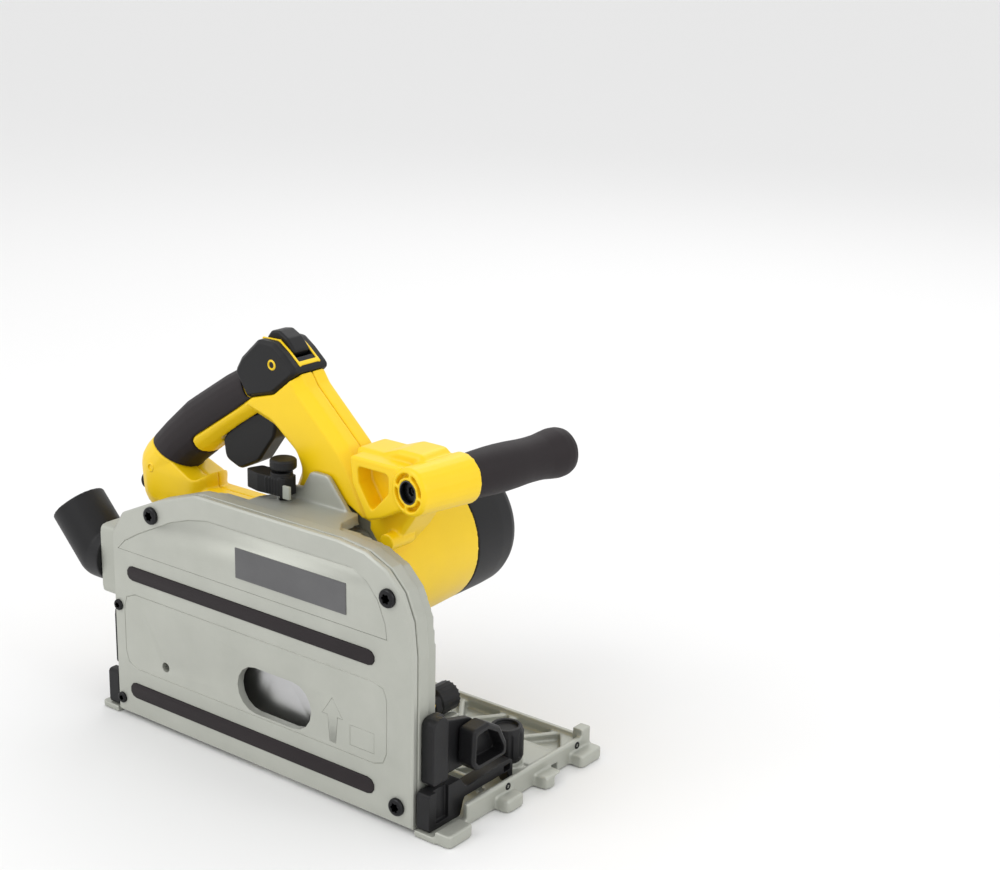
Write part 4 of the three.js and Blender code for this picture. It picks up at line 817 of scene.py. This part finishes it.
grip_rubber = turned_ring([(radius, GRIP_START + reach) for radius, reach in GRIP_PROFILE],
                          BOSS_PLACE, BOSS_AXIS, "grip_rubber")
moulding("front_handle", 0.0007, 4, 0.4, grip_rubber)

bolt_skin = moulded("front_handle_bolt", 0.0004, 2, 0.5)
settled(bolt_skin, "saw_body", BLACK_OXIDE, "steel", "front_handle_bolt")
cup = smoothed(turned_ring(CUP_PROFILE, BOSS_PLACE, BOSS_AXIS, "handle_bolt_cup"), 35)
settled(cup, "saw_body", BLACK_OXIDE, "steel")

# ---- Dust spout -------------------------------------------------------------
# A black nylon elbow that turns on the outlet box's collar, open at its mouth.

SPOUT_RADIUS = 0.0200
SPOUT_BORE = 0.0158
SPOUT_REACH = (0.0137, 0.040)
BORE_REACH = (0.020, 0.046)
ELBOW = Vector((-0.166, -0.062, 0.108))
MOUTH_AXIS = Vector((-sin(radians(44)), 0, cos(radians(44))))


def elbow_solid(name, radius, root_reach, mouth_reach):
    """The elbow as one closed body: a stub to the box, a ball, and an arm out to the mouth."""
    stub_profile = [(0, -root_reach), (radius, -root_reach), (radius, 0), (0, 0)]
    arm_profile = [(0, 0), (radius, 0), (radius, mouth_reach), (0, mouth_reach)]
    stub = turned_ring(stub_profile, ELBOW, (-1, 0, 0), name)
    arm = turned_ring(arm_profile, ELBOW, MOUTH_AXIS)
    bpy.ops.mesh.primitive_uv_sphere_add(segments=64, ring_count=32, radius=radius, location=ELBOW)
    ball = bpy.context.object
    return fused(stub, arm, ball, voxel=0.0008, passes=3)


spout = elbow_solid("dust_spout_skin", SPOUT_RADIUS, *SPOUT_REACH)
cut_by(spout, elbow_solid("spout_bore", SPOUT_BORE, *BORE_REACH))
smoothed(spout, 40)
settled(spout, "dust_spout", BLACK_NYLON, "black_plastic", "dust_spout")

# ---- Rail adjusters and anti-kickback knob ----------------------------------
# Fluted black nylon knobs that press cams against the track's rib, and the
# knurled knob of the anti-kickback cam with its yellow pointer. That knob is
# drawn in a little, so that the motor passes it at full depth.

for node_name in ("rail_adjuster_front", "rail_adjuster_rear"):
    moulding(node_name, 0.0004, 2, 0.5)

KICKBACK_LOW, KICKBACK_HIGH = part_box("kickback_knob")
KICKBACK_MIDDLE = (0.062, 0, 0.025)
KNURL_RADIUS = 0.0104
KNURL_RIB_RADIUS = 0.0007
KNURL_LENGTH = 0.018
KNURL_Y = (KICKBACK_LOW.y + KICKBACK_HIGH.y) / 2 + 0.003
KNURLS = 20
KNOB_EASE = 0.95
KNOB_POINTER = [
    (-0.0062, -0.0075), (0.0062, -0.0075), (0.0085, 0.003), (0, 0.0112), (-0.0085, 0.003),
]
KNOB_POINTER_PROUD = 0.0008
KNOB_POINTER_ROOT = 0.002

ribs = []
for i in range(KNURLS):
    turn = 2 * pi * i / KNURLS
    bpy.ops.mesh.primitive_cylinder_add(vertices=12, radius=KNURL_RIB_RADIUS, depth=KNURL_LENGTH)
    rib = bpy.context.object
    rib.rotation_euler = (radians(90), 0, 0)
    rib.location = (KICKBACK_MIDDLE[0] + KNURL_RADIUS * cos(turn), KNURL_Y,
                    KICKBACK_MIDDLE[2] + KNURL_RADIUS * sin(turn))
    placed(rib)
    ribs.append(rib)
kickback = moulding("kickback_knob", 0.0004, 1, 0.5, *ribs)
for vertex in kickback.data.vertices:
    vertex.co.x = KICKBACK_MIDDLE[0] + (vertex.co.x - KICKBACK_MIDDLE[0]) * KNOB_EASE
    vertex.co.z = KICKBACK_MIDDLE[2] + (vertex.co.z - KICKBACK_MIDDLE[2]) * KNOB_EASE

pointer_outline = [(KICKBACK_MIDDLE[0] + x, KICKBACK_MIDDLE[2] + z) for x, z in KNOB_POINTER]
pointer = prism("kickback_pointer", pointer_outline,
                KICKBACK_LOW.y - KNOB_POINTER_PROUD, KICKBACK_LOW.y + KNOB_POINTER_ROOT)
fused(pointer, voxel=0.0004)
settled(pointer, "kickback_knob", YELLOW_NYLON, "yellow_plastic")

# ---- Body screws ------------------------------------------------------------
# Blackened screws that hold the end cap on, clamp the two handle halves from
# the far side, and set the rail adjusters through the base's front wall.

HANDLE_FAR_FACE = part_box("handle_right")[1].y
FRONT_TAB_REACH = 0.010
BASE_FRONT_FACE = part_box("base_plate")[1].x - FRONT_TAB_REACH
CAP_SCREW_RADIUS = 0.0036
CAP_SCREW_CIRCLE = 0.0335
HANDLE_SCREW_RADIUS = 0.0033
HANDLE_SCREW_SINK = 0.0004
HANDLE_SCREW_SPOTS = [(-0.020, 0.243), (0.036, 0.196), (-0.064, 0.147), (-0.128, 0.148)]
GRUB_SCREW_RADIUS = 0.0026
GRUB_SCREW_SINK = 0.0003
GRUB_SCREW_SPOTS = [(-0.0124, 0.0112), (0.0640, 0.0112)]


def facing_screw(name, radius, place, turn, body):
    """A star screw turned about Z from facing -Y, standing at a place on a body."""
    turned_screw = star_screw(name, radius)
    turned_screw.rotation_euler = (0, 0, turn)
    turned_screw.location = place
    placed(turned_screw)
    return settled(turned_screw, body, BLACK_OXIDE, "steel")


for i in range(4):
    turn = pi / 4 + i * pi / 2
    x = MOTOR_AXIS[0] + CAP_SCREW_CIRCLE * cos(turn)
    z = MOTOR_AXIS[2] + CAP_SCREW_CIRCLE * sin(turn)
    facing_screw("cap_screw_" + str(i + 1), CAP_SCREW_RADIUS, (x, CAP_END, z), pi, "saw_body")

for i, (x, z) in enumerate(HANDLE_SCREW_SPOTS):
    place = (x, HANDLE_FAR_FACE - HANDLE_SCREW_SINK, z)
    facing_screw("handle_screw_" + str(i + 1), HANDLE_SCREW_RADIUS, place, pi, "saw_body")

for i, (y, z) in enumerate(GRUB_SCREW_SPOTS):
    place = (BASE_FRONT_FACE - GRUB_SCREW_SINK, y, z)
    facing_screw("grub_screw_" + str(i + 1), GRUB_SCREW_RADIUS, place, pi / 2, "base")

# ---- Small controls and the drive -------------------------------------------
# Turned and moulded pieces with a small radius on each edge, and the blade, a
# flat plate whose edges have a fine bevel.

SMALL_PIECES = [
    "spindle_lock", "speed_dial", "cord_gland", "blade_bolt", "outer_flange", "inner_flange",
    "brush_holder_upper", "brush_holder_lower", "cooling_fan",
]

for node_name in SMALL_PIECES:
    moulding(node_name, 0.0005, 2, 0.5)

blade = pressed_copy("blade", "toothed_blade")
bevelled(blade, 0.00015, 2, 40)
smoothed(blade, 30)
settled(blade, "spindle", BARE_STEEL, "steel", "blade")
